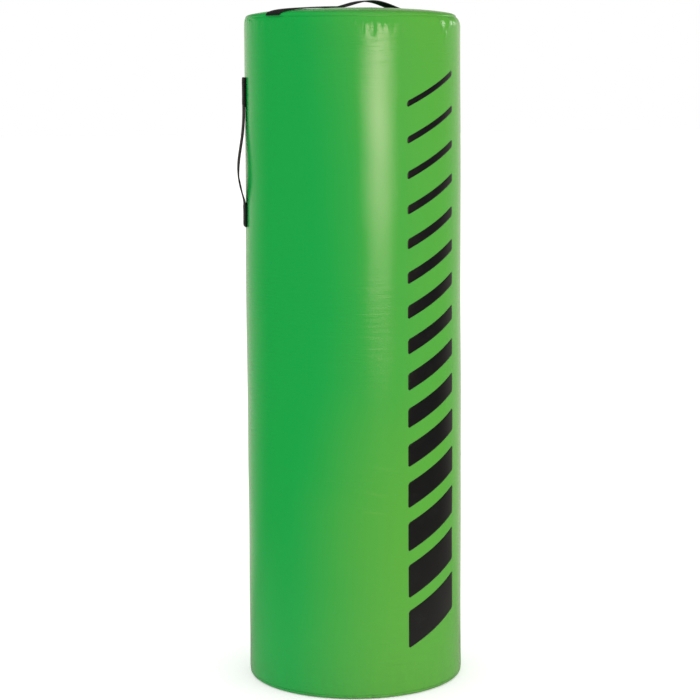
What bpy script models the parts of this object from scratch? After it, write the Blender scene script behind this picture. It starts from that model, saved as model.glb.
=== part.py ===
"""Tackling bag: a foam cylinder in a sewn cover, with two webbing handles and a zip round its base.

Metres, +Z up. The origin is the centre of the base on the floor, and the side handle is on -X.
"""
import math

import bmesh
import bpy
from mathutils import Matrix, Vector

# Cover: a straight tube, whose filling settles and spreads its foot
SEAM_HEIGHT = 1.385
DIAMETER = 0.4500
FOOT_SPREAD = 0.0072
CROWN_RISE = 0.0200
CROWN_CURVE = 0.50
FOOT_RADIUS = 0.0080
SIDES = 60

# Cover cloth, its seams and the clearance between pieces that touch
COVER_THICKNESS = 0.0012
BASE_THICKNESS = 0.0016
FIT_GAP = 0.0003
SEAM_ALLOWANCE = 0.0180
BINDING_THICKNESS = 0.0010
BINDING_REACH = 0.0080
TOP_FIN_SLOPE = 30.0
LAP_WIDTH = 0.0250
LAP_RUNOUT = 0.0080
LAP_ANGLE = 96.0
PATCH_THICKNESS = 0.0010
PATCH_MARGIN = 0.0100

# Foam filling
CORE_DIAMETER = 0.2500
BASE_PAD_TOP = 0.0580
TOP_PAD_THICKNESS = 0.0450
SLIDER_ROOM = 0.0043
FOAM_SIDES = 30

# Webbing of both handles
WEBBING_WIDTH = 0.0500
WEBBING_THICKNESS = 0.0024

# Side handle: sewn at both ends, with a loop between that stands off the wall
SIDE_HANDLE_ANGLE = 180.0
SIDE_HANDLE_DROP = 0.1200
SIDE_TOP_SEWN = 0.0610
SIDE_LOOP_LENGTH = 0.1990
SIDE_BOTTOM_SEWN = 0.0480
SIDE_LOOP_BOW = 0.0120
SIDE_PEAK_SHARE = 0.65
SIDE_LOOP_STEPS = 22

# Top handle: runs from seam to seam over the crown, with an arch that is gripped
TOP_HANDLE_ANGLE = 35.7
TOP_ARCH_START = -0.0520
TOP_ARCH_LENGTH = 0.1900
TOP_ARCH_RISE = 0.0137
TOP_ARCH_STEPS = 16
TOP_PATCH_LENGTH = 0.0700

# Zip round the back of the foot
ZIP_HEIGHT = 0.0360
ZIP_START_ANGLE = 30.0
ZIP_FACETS = 20
SLOT_HEIGHT = 0.0160
TAPE_TAIL = 0.0100
TAPE_WIDTH = 0.0170
TAPE_THICKNESS = 0.0008
BEAD_WIDTH = 0.0022
BEAD_THICKNESS = 0.0026
MESH_WIDTH = 0.0034
TEETH_PER_FACET = 6
TEETH_LEFT_OUT = 3
TOOTH_GAP = 0.00032
TOOTH_FLARE = 0.00037
STOP_LENGTH = 0.0040
STOP_LEAF = 0.0008

# Slider and its pull tab
SLIDER_LENGTH = 0.0200
SLIDER_PLATE = 0.0012
SLIDER_RAIL = 0.0011
MOUTH_FLARE = 0.0016
DIVIDER_LENGTH = 0.0055
DIVIDER_WIDTH = 0.0026
BRIDGE_LENGTH = 0.0088
BRIDGE_HEIGHT = 0.0042
BRIDGE_WIDTH = 0.0022
BRIDGE_BAR = 0.0013
TAB_LENGTH = 0.0300
TAB_WIDTH = 0.0085
TAB_THICKNESS = 0.0015
TAB_ARM = 0.0021
TAB_HOLE_RADIUS = 0.0015
TAB_ROOM = 0.0007
CASTING_EDGE = 0.00018

SHARP_ANGLE = 35.0
MERGE_DISTANCE = 0.000002


def clear_scene():
    for item in list(bpy.data.objects):
        bpy.data.objects.remove(item, do_unlink=True)


def finish_of(name, colour, roughness, metallic=0.0):
    material = bpy.data.materials.new(name)
    material.use_nodes = True
    material.diffuse_color = (*colour, 1.0)
    shader = material.node_tree.nodes["Principled BSDF"]
    shader.inputs["Base Color"].default_value = (*colour, 1.0)
    shader.inputs["Roughness"].default_value = roughness
    shader.inputs["Metallic"].default_value = metallic
    return material


def object_from(name, bm, material, smooth=True):
    bmesh.ops.remove_doubles(bm, verts=bm.verts, dist=MERGE_DISTANCE)
    bmesh.ops.recalc_face_normals(bm, faces=bm.faces)
    mesh = bpy.data.meshes.new(name)
    bm.to_mesh(mesh)
    bm.free()
    if smooth:
        mesh.shade_smooth()
        mesh.set_sharp_from_angle(angle=math.radians(SHARP_ANGLE))
    piece = bpy.data.objects.new(name, mesh)
    if material is not None:
        mesh.materials.append(material)
    bpy.context.collection.objects.link(piece)
    return piece


def shape_with(body, tools, operation):
    """Join the tools to the body, or cut them out of it, and keep only the body."""
    for tool in tools:
        modifier = body.modifiers.new(tool.name, "BOOLEAN")
        modifier.operation = operation
        modifier.object = tool
    bpy.context.view_layer.update()
    shaped = bpy.data.meshes.new_from_object(body.evaluated_get(bpy.context.evaluated_depsgraph_get()))
    body.modifiers.clear()
    body.data = shaped
    shaped.shade_smooth()
    shaped.set_sharp_from_angle(angle=math.radians(SHARP_ANGLE))
    for tool in tools:
        bpy.data.objects.remove(tool, do_unlink=True)


# Sizes that follow from the ones above

TOP_RADIUS = (DIAMETER - FOOT_SPREAD / 2) / 2
FOOT_WALL_RADIUS = (DIAMETER + FOOT_SPREAD / 2) / 2


def turn_of(angle):
    """Plan angle in degrees as a count of the cover's flat sides, from +X."""
    return angle * SIDES / 360.0


def wall_radius(height):
    share = height / SEAM_HEIGHT
    return FOOT_WALL_RADIUS + (TOP_RADIUS - FOOT_WALL_RADIUS) * share


def facet_point(turn, radius, height):
    """A point on the many-sided wall, part of the way along one of its flat sides."""
    side = math.floor(turn)
    share = turn - side
    start = 2 * math.pi * side / SIDES
    end = 2 * math.pi * (side + 1) / SIDES
    across = math.cos(start) * (1 - share) + math.cos(end) * share
    along = math.sin(start) * (1 - share) + math.sin(end) * share
    return (radius * across, radius * along, height)


def facet_length(height):
    return 2 * wall_radius(height) * math.sin(math.pi / SIDES)


def turns_between(first, last):
    """The first and last turn, with every corner of the wall that lies between them."""
    corners = [turn for turn in range(math.ceil(first), math.floor(last) + 1) if first < turn < last]
    return [first, *corners, last]


def turned(name, profile, material, sides=SIDES):
    """Spin a profile of (radius, height) about the bag's axis. It is closed unless it ends on the axis."""
    bm = bmesh.new()
    points = [bm.verts.new((radius, 0, height)) for radius, height in profile]
    edges = [bm.edges.new(pair) for pair in zip(points, points[1:])]
    if profile[0][0] > 0:
        edges.append(bm.edges.new((points[-1], points[0])))
    bmesh.ops.spin(bm, geom=points + edges, cent=(0, 0, 0), axis=(0, 0, 1),
                   angle=2 * math.pi, steps=sides, use_merge=True)
    return object_from(name, bm, material)


def wrapped(name, outline, stations, material, place=facet_point):
    """Carry an outline of (height, offset from the wall's outer face) round part of the wall."""
    bm = bmesh.new()
    loops = []
    for station in stations:
        loops.append([bm.verts.new(place(station, wall_radius(height) + offset, height))
                      for height, offset in outline])
    for loop, following in zip(loops, loops[1:]):
        for index in range(len(outline)):
            after = (index + 1) % len(outline)
            bm.faces.new((loop[index], loop[after], following[after], following[index]))
    bm.faces.new(loops[0])
    bm.faces.new(loops[-1])
    return object_from(name, bm, material)


def slab(name, upper, lower, material):
    """A sheet with thickness: two grids of points of the same size, closed round their edge."""
    bm = bmesh.new()
    grids = [[[bm.verts.new(point) for point in row] for row in grid] for grid in (upper, lower)]
    rows = len(upper)
    columns = len(upper[0])
    for grid in grids:
        for row in range(rows - 1):
            for column in range(columns - 1):
                bm.faces.new((grid[row][column], grid[row][column + 1],
                              grid[row + 1][column + 1], grid[row + 1][column]))
    rim = [(0, column) for column in range(columns)]
    rim += [(row, columns - 1) for row in range(1, rows)]
    rim += [(rows - 1, column) for column in range(columns - 2, -1, -1)]
    rim += [(row, 0) for row in range(rows - 2, 0, -1)]
    for here, there in zip(rim, rim[1:] + rim[:1]):
        bm.faces.new((grids[0][here[0]][here[1]], grids[0][there[0]][there[1]],
                      grids[1][there[0]][there[1]], grids[1][here[0]][here[1]]))
    return object_from(name, bm, material)


def prism(name, outline, low, high, place, material):
    """Extrude an outline of (x, y) from low to high, and put the result where place says."""
    bm = bmesh.new()
    floor = [bm.verts.new((x, y, low)) for x, y in outline]
    face = bm.faces.new(floor)
    grown = bmesh.ops.extrude_face_region(bm, geom=[face])
    moved = [item for item in grown["geom"] if isinstance(item, bmesh.types.BMVert)]
    bmesh.ops.translate(bm, verts=moved, vec=(0, 0, high - low))
    bmesh.ops.transform(bm, matrix=place, verts=bm.verts)
    return object_from(name, bm, material)


def arc(centre_x, centre_y, radius, start, end, steps):
    """Points of an arc, in degrees, both ends included."""
    angles = [math.radians(start + (end - start) * step / steps) for step in range(steps + 1)]
    return [(centre_x + radius * math.cos(angle), centre_y + radius * math.sin(angle)) for angle in angles]


# Crown: the curved top that the foam pushes up

PANEL_SHARES = (1.0, 0.998, 0.99, 0.965, 0.91, 0.82, 0.70, 0.55, 0.38, 0.20)
HOLLOW_SHARE = 0.965


def crown_height(share):
    return SEAM_HEIGHT + CROWN_RISE * (1 - share ** 2) ** CROWN_CURVE


def crown_normal(share):
    """Outward direction of the crown as (radial, up), at a share of the seam's radius."""
    if share >= 1:
        return (1, 0)
    slope = 2 * CROWN_CURVE * CROWN_RISE / TOP_RADIUS * share * (1 - share ** 2) ** (CROWN_CURVE - 1)
    length = math.hypot(slope, 1)
    return (slope / length, 1 / length)


def crown_profile(offset, highest_share=1.0):
    """Points of the crown from the rim inwards, moved out along its normal by offset."""
    points = []
    for share in PANEL_SHARES:
        if share <= highest_share:
            out, up = crown_normal(share)
            points.append((TOP_RADIUS * share + offset * out, crown_height(share) + offset * up))
    points.append((0, crown_height(0) + offset))
    return points


def crown_point(along, across, lift):
    """A point over the crown on the top handle's line, lifted along the crown's normal."""
    rim = TOP_RADIUS
    follow = max(0, abs(along) / rim * 3 - 2)
    drawn_in = (rim - math.sqrt(rim ** 2 - across ** 2)) * follow
    reach = math.copysign(abs(along) - drawn_in, along)
    radius = math.hypot(reach, across)
    share = min(radius / rim, 1)
    out, up = crown_normal(share)
    scale = 1 + lift * out / radius
    heading = math.radians(TOP_HANDLE_ANGLE)
    x = (reach * math.cos(heading) - across * math.sin(heading)) * scale
    y = (reach * math.sin(heading) + across * math.cos(heading)) * scale
    return (x, y, crown_height(share) + lift * up)


# Cover: at each round seam the raw edges of both cloths turn inwards together, as a fin

class Fin:
    """Places beside a seam: distance in along the fin, and distance up from its middle."""

    def __init__(self, radius, height, slope):
        self.radius = radius
        self.height = height
        self.slope = math.radians(slope)

    def point(self, inward, rise):
        cosine = math.cos(self.slope)
        sine = math.sin(self.slope)
        return (self.radius - inward * cosine - rise * sine, self.height - inward * sine + rise * cosine)

    def corner(self, rise):
        """Where a face of the fin, at this rise, meets the wall's outer face."""
        return (self.radius, self.height + rise / math.cos(self.slope))

    def inside(self, rise, depth):
        """Where a face of the fin meets a face that lies this deep inside the wall's outer one."""
        inward = (depth - rise * math.sin(self.slope)) / math.cos(self.slope)
        return self.point(inward, rise)


TOP_FIN = Fin(TOP_RADIUS, SEAM_HEIGHT, TOP_FIN_SLOPE)
BASE_FIN = Fin(wall_radius(FOOT_RADIUS), FOOT_RADIUS, 0)
FIN_GAP = FIT_GAP / 2


def make_side_wall(material):
    under = -FIN_GAP - COVER_THICKNESS
    over = FIN_GAP + COVER_THICKNESS
    profile = [
        TOP_FIN.corner(-FIN_GAP),
        BASE_FIN.corner(FIN_GAP),
        BASE_FIN.point(SEAM_ALLOWANCE, FIN_GAP),
        BASE_FIN.point(SEAM_ALLOWANCE, over),
        BASE_FIN.inside(over, COVER_THICKNESS),
        TOP_FIN.inside(under, COVER_THICKNESS),
        TOP_FIN.point(SEAM_ALLOWANCE, under),
        TOP_FIN.point(SEAM_ALLOWANCE, -FIN_GAP),
    ]
    wall = turned("side_wall", profile, material)

    lap_edge = turn_of(LAP_ANGLE)
    lap_end = lap_edge + LAP_WIDTH / facet_length(SEAM_HEIGHT)
    runout_end = lap_end + LAP_RUNOUT / facet_length(SEAM_HEIGHT)
    buried = -COVER_THICKNESS / 3
    heights = (FOOT_RADIUS + COVER_THICKNESS, SEAM_HEIGHT - COVER_THICKNESS)
    stations = [(turn, COVER_THICKNESS) for turn in turns_between(lap_edge, lap_end)]
    stations.append((runout_end, buried / 2))
    upper = [[facet_point(turn, wall_radius(height) + rise, height) for height in heights]
             for turn, rise in stations]
    lower = [[facet_point(turn, wall_radius(height) + buried, height) for height in heights]
             for turn, rise in stations]
    lap = slab("lap_shape", upper, lower, None)
    shape_with(wall, [lap], "UNION")

    room = FIT_GAP / facet_length(ZIP_HEIGHT)
    start = turn_of(ZIP_START_ANGLE) - room
    end = turn_of(ZIP_START_ANGLE) + ZIP_FACETS + room
    low = ZIP_HEIGHT - SLOT_HEIGHT / 2
    high = ZIP_HEIGHT + SLOT_HEIGHT / 2
    outline = [(low, 3 * COVER_THICKNESS), (high, 3 * COVER_THICKNESS),
               (high, -3 * COVER_THICKNESS), (low, -3 * COVER_THICKNESS)]
    slot = wrapped("slot_shape", outline, turns_between(start, end), None)
    shape_with(wall, [slot], "DIFFERENCE")
    return wall


def make_top_panel(material):
    outer = crown_profile(0, PANEL_SHARES[1])
    inner = crown_profile(-COVER_THICKNESS, HOLLOW_SHARE)
    over = FIN_GAP + COVER_THICKNESS
    fin = [
        TOP_FIN.inside(over, TOP_RADIUS - inner[0][0]),
        TOP_FIN.point(SEAM_ALLOWANCE, over),
        TOP_FIN.point(SEAM_ALLOWANCE, FIN_GAP),
        TOP_FIN.corner(FIN_GAP),
    ]
    return turned("top_panel", list(reversed(inner)) + fin + outer, material)


def make_base_panel(material):
    under = -FIN_GAP - BASE_THICKNESS
    outer = BASE_FIN.radius
    hollow = FOOT_RADIUS - BASE_THICKNESS
    meeting = math.degrees(math.asin(-under / hollow))
    heel = arc(outer - FOOT_RADIUS, FOOT_RADIUS, FOOT_RADIUS, -90, -8, 4)
    inside = arc(outer - FOOT_RADIUS, FOOT_RADIUS, hollow, -meeting, -90, 3)
    fin = [
        BASE_FIN.corner(-FIN_GAP),
        BASE_FIN.point(SEAM_ALLOWANCE, -FIN_GAP),
        BASE_FIN.point(SEAM_ALLOWANCE, under),
    ]
    return turned("base_panel", [(0, 0)] + heel + fin + inside + [(0, BASE_THICKNESS)], material)


def make_seam_binding(name, fin, low_cloth, high_cloth, material):
    """A folded tape over the raw edges of a seam, round the two cloths of its fin."""
    mouth = SEAM_ALLOWANCE - BINDING_REACH
    fold = SEAM_ALLOWANCE + FIT_GAP
    back = fold + BINDING_THICKNESS
    low = -FIN_GAP - low_cloth - FIT_GAP
    high = FIN_GAP + high_cloth + FIT_GAP
    profile = [
        fin.point(mouth, high),
        fin.point(mouth, high + BINDING_THICKNESS),
        fin.point(back, high + BINDING_THICKNESS),
        fin.point(back, low - BINDING_THICKNESS),
        fin.point(mouth, low - BINDING_THICKNESS),
        fin.point(mouth, low),
        fin.point(fold, low),
        fin.point(fold, high),
    ]
    return turned(name, profile, material)


def make_bindings(material):
    make_seam_binding("base_seam_binding", BASE_FIN, BASE_THICKNESS, COVER_THICKNESS, material)
    make_seam_binding("top_seam_binding", TOP_FIN, COVER_THICKNESS, COVER_THICKNESS, material)


# Foam filling, from the floor up

LINING_OFFSET = COVER_THICKNESS + FIT_GAP + PATCH_THICKNESS + FIT_GAP
FIN_LENGTH = SEAM_ALLOWANCE + FIT_GAP + BINDING_THICKNESS + FIT_GAP
FIN_HEIGHT = FIN_GAP + COVER_THICKNESS + FIT_GAP + BINDING_THICKNESS + FIT_GAP
TOP_PAD_BOTTOM = SEAM_HEIGHT - TOP_PAD_THICKNESS


def make_base_pad(material):
    inner, notch_top = BASE_FIN.point(FIN_LENGTH, FIN_HEIGHT)
    outer = wall_radius(ZIP_HEIGHT) - COVER_THICKNESS - SLIDER_ROOM
    bottom = BASE_THICKNESS + FIT_GAP
    profile = [(0, bottom), (inner, bottom), (inner, notch_top), (outer, notch_top),
               (outer, BASE_PAD_TOP), (0, BASE_PAD_TOP)]
    return turned("base_foam_pad", profile, material, FOAM_SIDES)


def make_core(material):
    bottom = BASE_PAD_TOP + FIT_GAP
    top = TOP_PAD_BOTTOM - FIT_GAP
    radius = CORE_DIAMETER / 2
    return turned("foam_core", [(0, bottom), (radius, bottom), (radius, top), (0, top)], material, FOAM_SIDES)


def make_sleeve(material):
    bottom = BASE_PAD_TOP + FIT_GAP
    top = TOP_PAD_BOTTOM - FIT_GAP
    bore = CORE_DIAMETER / 2 + FIT_GAP
    profile = [(bore, bottom), (wall_radius(bottom) - LINING_OFFSET, bottom),
               (wall_radius(top) - LINING_OFFSET, top), (bore, top)]
    return turned("foam_sleeve", profile, material, FOAM_SIDES)


def make_top_pad(material):
    outer = wall_radius(SEAM_HEIGHT) - LINING_OFFSET
    inner = TOP_FIN.point(FIN_LENGTH, FIN_HEIGHT)[0]
    shoulder = TOP_FIN.point(FIN_LENGTH, -FIN_HEIGHT)[1]
    brow = crown_height(inner / TOP_RADIUS) - LINING_OFFSET / crown_normal(inner / TOP_RADIUS)[1]
    crown = [(reach, height) for reach, height in crown_profile(-LINING_OFFSET) if reach < inner]
    profile = [(0, TOP_PAD_BOTTOM), (outer, TOP_PAD_BOTTOM), (outer, shoulder), (inner, shoulder),
               (inner, brow)] + crown
    return turned("top_foam_pad", profile, material, FOAM_SIDES)


# Handles and the patches that back their stitching

def across_webbing(margin=0):
    half = WEBBING_WIDTH / 2 + margin
    return (-half, -half / 2, 0, half / 2, half)


def side_loop_offset(share):
    """How far the loop's inner face stands off its folded ends, from the top of the loop to its foot."""
    lean = math.log(0.5) / math.log(SIDE_PEAK_SHARE)
    return SIDE_LOOP_BOW * math.sin(math.pi * share ** lean) ** 1.5


def side_handle_point(across, radius, height):
    """A point at a distance across the webbing, which is as wide where it stands off as where it lies."""
    heading = math.radians(SIDE_HANDLE_ANGLE)
    reach = math.sqrt(radius ** 2 - across ** 2)
    x = reach * math.cos(heading) - across * math.sin(heading)
    y = reach * math.sin(heading) + across * math.cos(heading)
    return (x, y, height)


def side_handle_heights():
    """Top of the webbing, both ends of its free loop, and its foot."""
    top = SEAM_HEIGHT - SIDE_HANDLE_DROP
    loop_top = top - SIDE_TOP_SEWN
    loop_bottom = loop_top - SIDE_LOOP_LENGTH
    return top, loop_top, loop_bottom, loop_bottom - SIDE_BOTTOM_SEWN


def make_side_handle(material):
    top, loop_top, loop_bottom, bottom = side_handle_heights()
    folded = FIT_GAP + WEBBING_THICKNESS
    shares = [step / SIDE_LOOP_STEPS for step in range(SIDE_LOOP_STEPS + 1)]
    inner = [(loop_top - SIDE_LOOP_LENGTH * share, folded + side_loop_offset(share)) for share in shares]
    outer = [(height, offset + WEBBING_THICKNESS) for height, offset in inner]
    fold = WEBBING_THICKNESS
    top_fold = arc(top - fold, folded, fold, 90, -90, 6)
    bottom_fold = arc(bottom + fold, folded, fold, 270, 90, 6)
    outline = top_fold + [(loop_top, FIT_GAP)] + inner + [(loop_bottom, FIT_GAP)]
    outline += bottom_fold + list(reversed(outer))
    return wrapped("side_handle", outline, across_webbing(), material, side_handle_point)


def make_side_patches(material):
    top, loop_top, loop_bottom, bottom = side_handle_heights()
    front = -COVER_THICKNESS - FIT_GAP
    back = front - PATCH_THICKNESS
    middle = turn_of(SIDE_HANDLE_ANGLE)
    half = (WEBBING_WIDTH / 2 + PATCH_MARGIN) / facet_length(loop_bottom)
    spans = {"side_handle_patch_upper": (loop_top, top),
             "side_handle_patch_lower": (bottom, loop_bottom)}
    for name, (low, high) in spans.items():
        low -= PATCH_MARGIN
        high += PATCH_MARGIN
        outline = [(low, front), (high, front), (high, back), (low, back)]
        wrapped(name, outline, turns_between(middle - half, middle + half), material)


def top_handle_stations():
    """Distances along the top handle from its front end, with the arch's height over each."""
    rim = TOP_RADIUS
    arch_end = TOP_ARCH_START + TOP_ARCH_LENGTH
    front = [-rim * share for share in PANEL_SHARES if -rim * share < TOP_ARCH_START]
    rear = [rim * share for share in reversed(PANEL_SHARES) if rim * share > arch_end]
    stations = [(along, 0) for along in front]
    for step in range(TOP_ARCH_STEPS + 1):
        share = step / TOP_ARCH_STEPS
        rise = TOP_ARCH_RISE * math.sin(math.pi * share) ** 1.3
        stations.append((TOP_ARCH_START + TOP_ARCH_LENGTH * share, rise))
    return stations + [(along, 0) for along in rear]


def make_top_handle(material):
    upper = []
    lower = []
    for along, rise in top_handle_stations():
        low = FIT_GAP + rise
        high = low + WEBBING_THICKNESS
        lower.append([crown_point(along, across, low) for across in across_webbing()])
        upper.append([crown_point(along, across, high) for across in across_webbing()])
    return slab("top_handle", upper, lower, material)


def make_top_patches(material):
    front = -COVER_THICKNESS - FIT_GAP
    arch_end = TOP_ARCH_START + TOP_ARCH_LENGTH
    rear_limit = TOP_RADIUS - FIN_LENGTH - FIN_HEIGHT
    rear_start = arch_end - PATCH_MARGIN
    spans = {"top_handle_patch_front": (TOP_ARCH_START - TOP_PATCH_LENGTH, TOP_ARCH_START + PATCH_MARGIN),
             "top_handle_patch_rear": (rear_start, min(rear_start + TOP_PATCH_LENGTH, rear_limit))}
    steps = 6
    for name, (start, end) in spans.items():
        alongs = [start + (end - start) * step / steps for step in range(steps + 1)]
        acrosses = across_webbing(PATCH_MARGIN)
        upper = [[crown_point(along, across, front) for across in acrosses] for along in alongs]
        lower = [[crown_point(along, across, front - PATCH_THICKNESS) for across in acrosses]
                 for along in alongs]
        slab(name, upper, lower, material)


# Zip: two rows of flared teeth that lock together, each moulded on the bead of its tape

TAPE_OFFSET = -COVER_THICKNESS - FIT_GAP - TAPE_THICKNESS / 2
BEAD_EDGE = MESH_WIDTH / 2
TOOTH_LENGTH = MESH_WIDTH - FIT_GAP
ZIP_START_TURN = turn_of(ZIP_START_ANGLE)
CHAIN_START_TURN = ZIP_START_TURN + 1 + TEETH_LEFT_OUT / TEETH_PER_FACET
CHAIN_END_TURN = ZIP_START_TURN + ZIP_FACETS - 1


def tooth_half_widths():
    """Half of a tooth's width at its neck and at its head, in turns."""
    pitch = facet_length(ZIP_HEIGHT) / TEETH_PER_FACET
    neck = (pitch / 2 - TOOTH_GAP - TOOTH_FLARE * MESH_WIDTH / TOOTH_LENGTH) / 2
    return neck / facet_length(ZIP_HEIGHT), (neck + TOOTH_FLARE) / facet_length(ZIP_HEIGHT)


def toothed_edge(facet_start, side):
    """Inner edge of one tape half along one flat side, as (turn, height above the zip's middle)."""
    neck, head = tooth_half_widths()
    root = side * BEAD_EDGE
    tip = side * (BEAD_EDGE - TOOTH_LENGTH)
    facet_end = facet_start + 1
    points = [(facet_start, root)]
    phase = 0.5 if side > 0 else 0.0
    for tooth in range(TEETH_PER_FACET + 1):
        centre = facet_start + (tooth + phase) / TEETH_PER_FACET
        if not CHAIN_START_TURN + neck < centre < CHAIN_END_TURN - neck or centre > facet_end + neck:
            continue
        if side > 0 and tooth == TEETH_PER_FACET:
            continue
        if side < 0 and tooth == 0:
            points = [(facet_start, tip)]
        else:
            points += [(centre - neck, root), (centre - head, tip)]
        if side < 0 and tooth == TEETH_PER_FACET:
            points.append((facet_end, tip))
        else:
            points += [(centre + head, tip), (centre + neck, root)]
    if points[-1][0] < facet_end:
        points.append((facet_end, root))
    return points


def make_zip_half(name, side, material):
    bm = bmesh.new()
    bead_back = side * (BEAD_EDGE + BEAD_WIDTH)
    tape_back = side * TAPE_WIDTH
    bead = BEAD_THICKNESS / 2
    tape = TAPE_THICKNESS / 2
    first = ZIP_START_TURN
    last = ZIP_START_TURN + ZIP_FACETS

    def vertex(turn, rise, offset):
        height = ZIP_HEIGHT + rise
        return bm.verts.new(facet_point(turn, wall_radius(height) + TAPE_OFFSET + offset, height))

    def face(points):
        bm.faces.new([vertex(*point) for point in points])

    for facet in range(ZIP_FACETS):
        start = ZIP_START_TURN + facet
        end = start + 1
        edge = toothed_edge(start, side)
        for layer in (bead, -bead):
            face([(turn, rise, layer) for turn, rise in edge]
                 + [(end, bead_back, layer), (start, bead_back, layer)])
        for (turn, rise), (next_turn, next_rise) in zip(edge, edge[1:]):
            here = [(turn, rise, -bead), (turn, rise, bead)]
            there = [(next_turn, next_rise, bead), (next_turn, next_rise, -bead)]
            if turn == first:
                here[1:1] = [(turn, rise, -tape), (turn, rise, tape)]
            if next_turn == last:
                there[1:1] = [(next_turn, next_rise, tape), (next_turn, next_rise, -tape)]
            face(here + there)
        for outer, inner in ((bead, tape), (-bead, -tape)):
            face([(start, bead_back, outer), (end, bead_back, outer),
                  (end, bead_back, inner), (start, bead_back, inner)])
            face([(start, bead_back, inner), (end, bead_back, inner),
                  (end, tape_back, inner), (start, tape_back, inner)])
        face([(start, tape_back, tape), (end, tape_back, tape),
              (end, tape_back, -tape), (start, tape_back, -tape)])

    # Past the bead only the flat tape goes on, behind the wall
    root = side * BEAD_EDGE
    tail = TAPE_TAIL / facet_length(ZIP_HEIGHT)
    for turn, far in ((first, first - tail), (last, last + tail)):
        for outer, inner in ((bead, tape), (-bead, -tape)):
            face([(turn, root, outer), (turn, bead_back, outer),
                  (turn, bead_back, inner), (turn, root, inner)])
            face([(far, root, inner), (far, tape_back, inner), (turn, tape_back, inner),
                  (turn, bead_back, inner), (turn, root, inner)])
        for rise in (root, tape_back):
            face([(turn, rise, tape), (far, rise, tape), (far, rise, -tape), (turn, rise, -tape)])
        face([(far, root, tape), (far, tape_back, tape), (far, tape_back, -tape), (far, root, -tape)])
    return object_from(name, bm, material, smooth=False)


def stop_outline(shape):
    """Put an outline of (rise, offset from the tape's middle) at the zip's own height and place."""
    return [(ZIP_HEIGHT + rise, TAPE_OFFSET + offset) for rise, offset in shape]


def make_zip_stops(material):
    length = STOP_LENGTH / facet_length(ZIP_HEIGHT)
    face = BEAD_THICKNESS / 2 + FIT_GAP
    skin = face + STOP_LEAF
    far = BEAD_EDGE + BEAD_WIDTH
    edge = BEAD_EDGE - FIT_GAP
    fold = edge - STOP_LEAF
    clip = [(far, face), (far, skin), (fold, skin), (fold, -skin),
            (far, -skin), (far, -face), (edge, -face), (edge, face)]
    slider_side = ZIP_START_TURN + 1
    for name, side in (("zip_top_stop_upper", 1), ("zip_top_stop_lower", -1)):
        outline = stop_outline([(side * rise, offset) for rise, offset in clip])
        wrapped(name, outline, [slider_side - length, slider_side], material)
    block = [(far, face), (far, skin), (-far, skin), (-far, face), (-edge, face), (-edge, -face),
             (-far, -face), (-far, -skin), (far, -skin), (far, -face), (edge, -face), (edge, face)]
    foot = CHAIN_END_TURN + FIT_GAP / facet_length(ZIP_HEIGHT)
    wrapped("zip_bottom_stop", stop_outline(block), [foot, foot + length], material)


def ease_edges(casting):
    bevel = casting.modifiers.new("eased_edges", "BEVEL")
    bevel.width = CASTING_EDGE
    bevel.segments = 1
    bevel.limit_method = "ANGLE"
    bevel.angle_limit = math.radians(SHARP_ANGLE)


# Slider: two plates joined by the wedge at its mouth, with a bridge that carries the pull tab

PLATE_INNER = BEAD_THICKNESS / 2 + FIT_GAP
PLATE_OUTER = PLATE_INNER + SLIDER_PLATE
RAIL_INNER = BEAD_EDGE + BEAD_WIDTH + FIT_GAP
TAIL_HALF = RAIL_INNER + SLIDER_RAIL
BURIED = SLIDER_PLATE / 4


def slider_place():
    """Local x along the zip, y up the wall and z out of it, at the slider's middle when it is closed."""
    start = ZIP_START_TURN + 1
    radius = wall_radius(ZIP_HEIGHT) + TAPE_OFFSET
    first = Vector(facet_point(start, radius, ZIP_HEIGHT))
    last = Vector(facet_point(start + 1, radius, ZIP_HEIGHT))
    along = (last - first).normalized()
    up = Vector((0, 0, 1))
    out = along.cross(up)
    middle = first + along * (FIT_GAP + SLIDER_LENGTH / 2)
    place = Matrix((along, up, out)).transposed().to_4x4()
    place.translation = middle
    return place


def plate_outline():
    tail = SLIDER_LENGTH / 2
    corner = SLIDER_RAIL
    mouth_half = TAIL_HALF + MOUTH_FLARE
    tail_arc = arc(tail - corner, TAIL_HALF - corner, corner, 0, 90, 3)
    mouth_arc = arc(-tail + 2 * corner, mouth_half - 2 * corner, 2 * corner, 90, 180, 4)
    upper = tail_arc + [(0, TAIL_HALF)] + mouth_arc
    lower = [(x, -y) for x, y in reversed(upper)]
    return upper + lower


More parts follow.
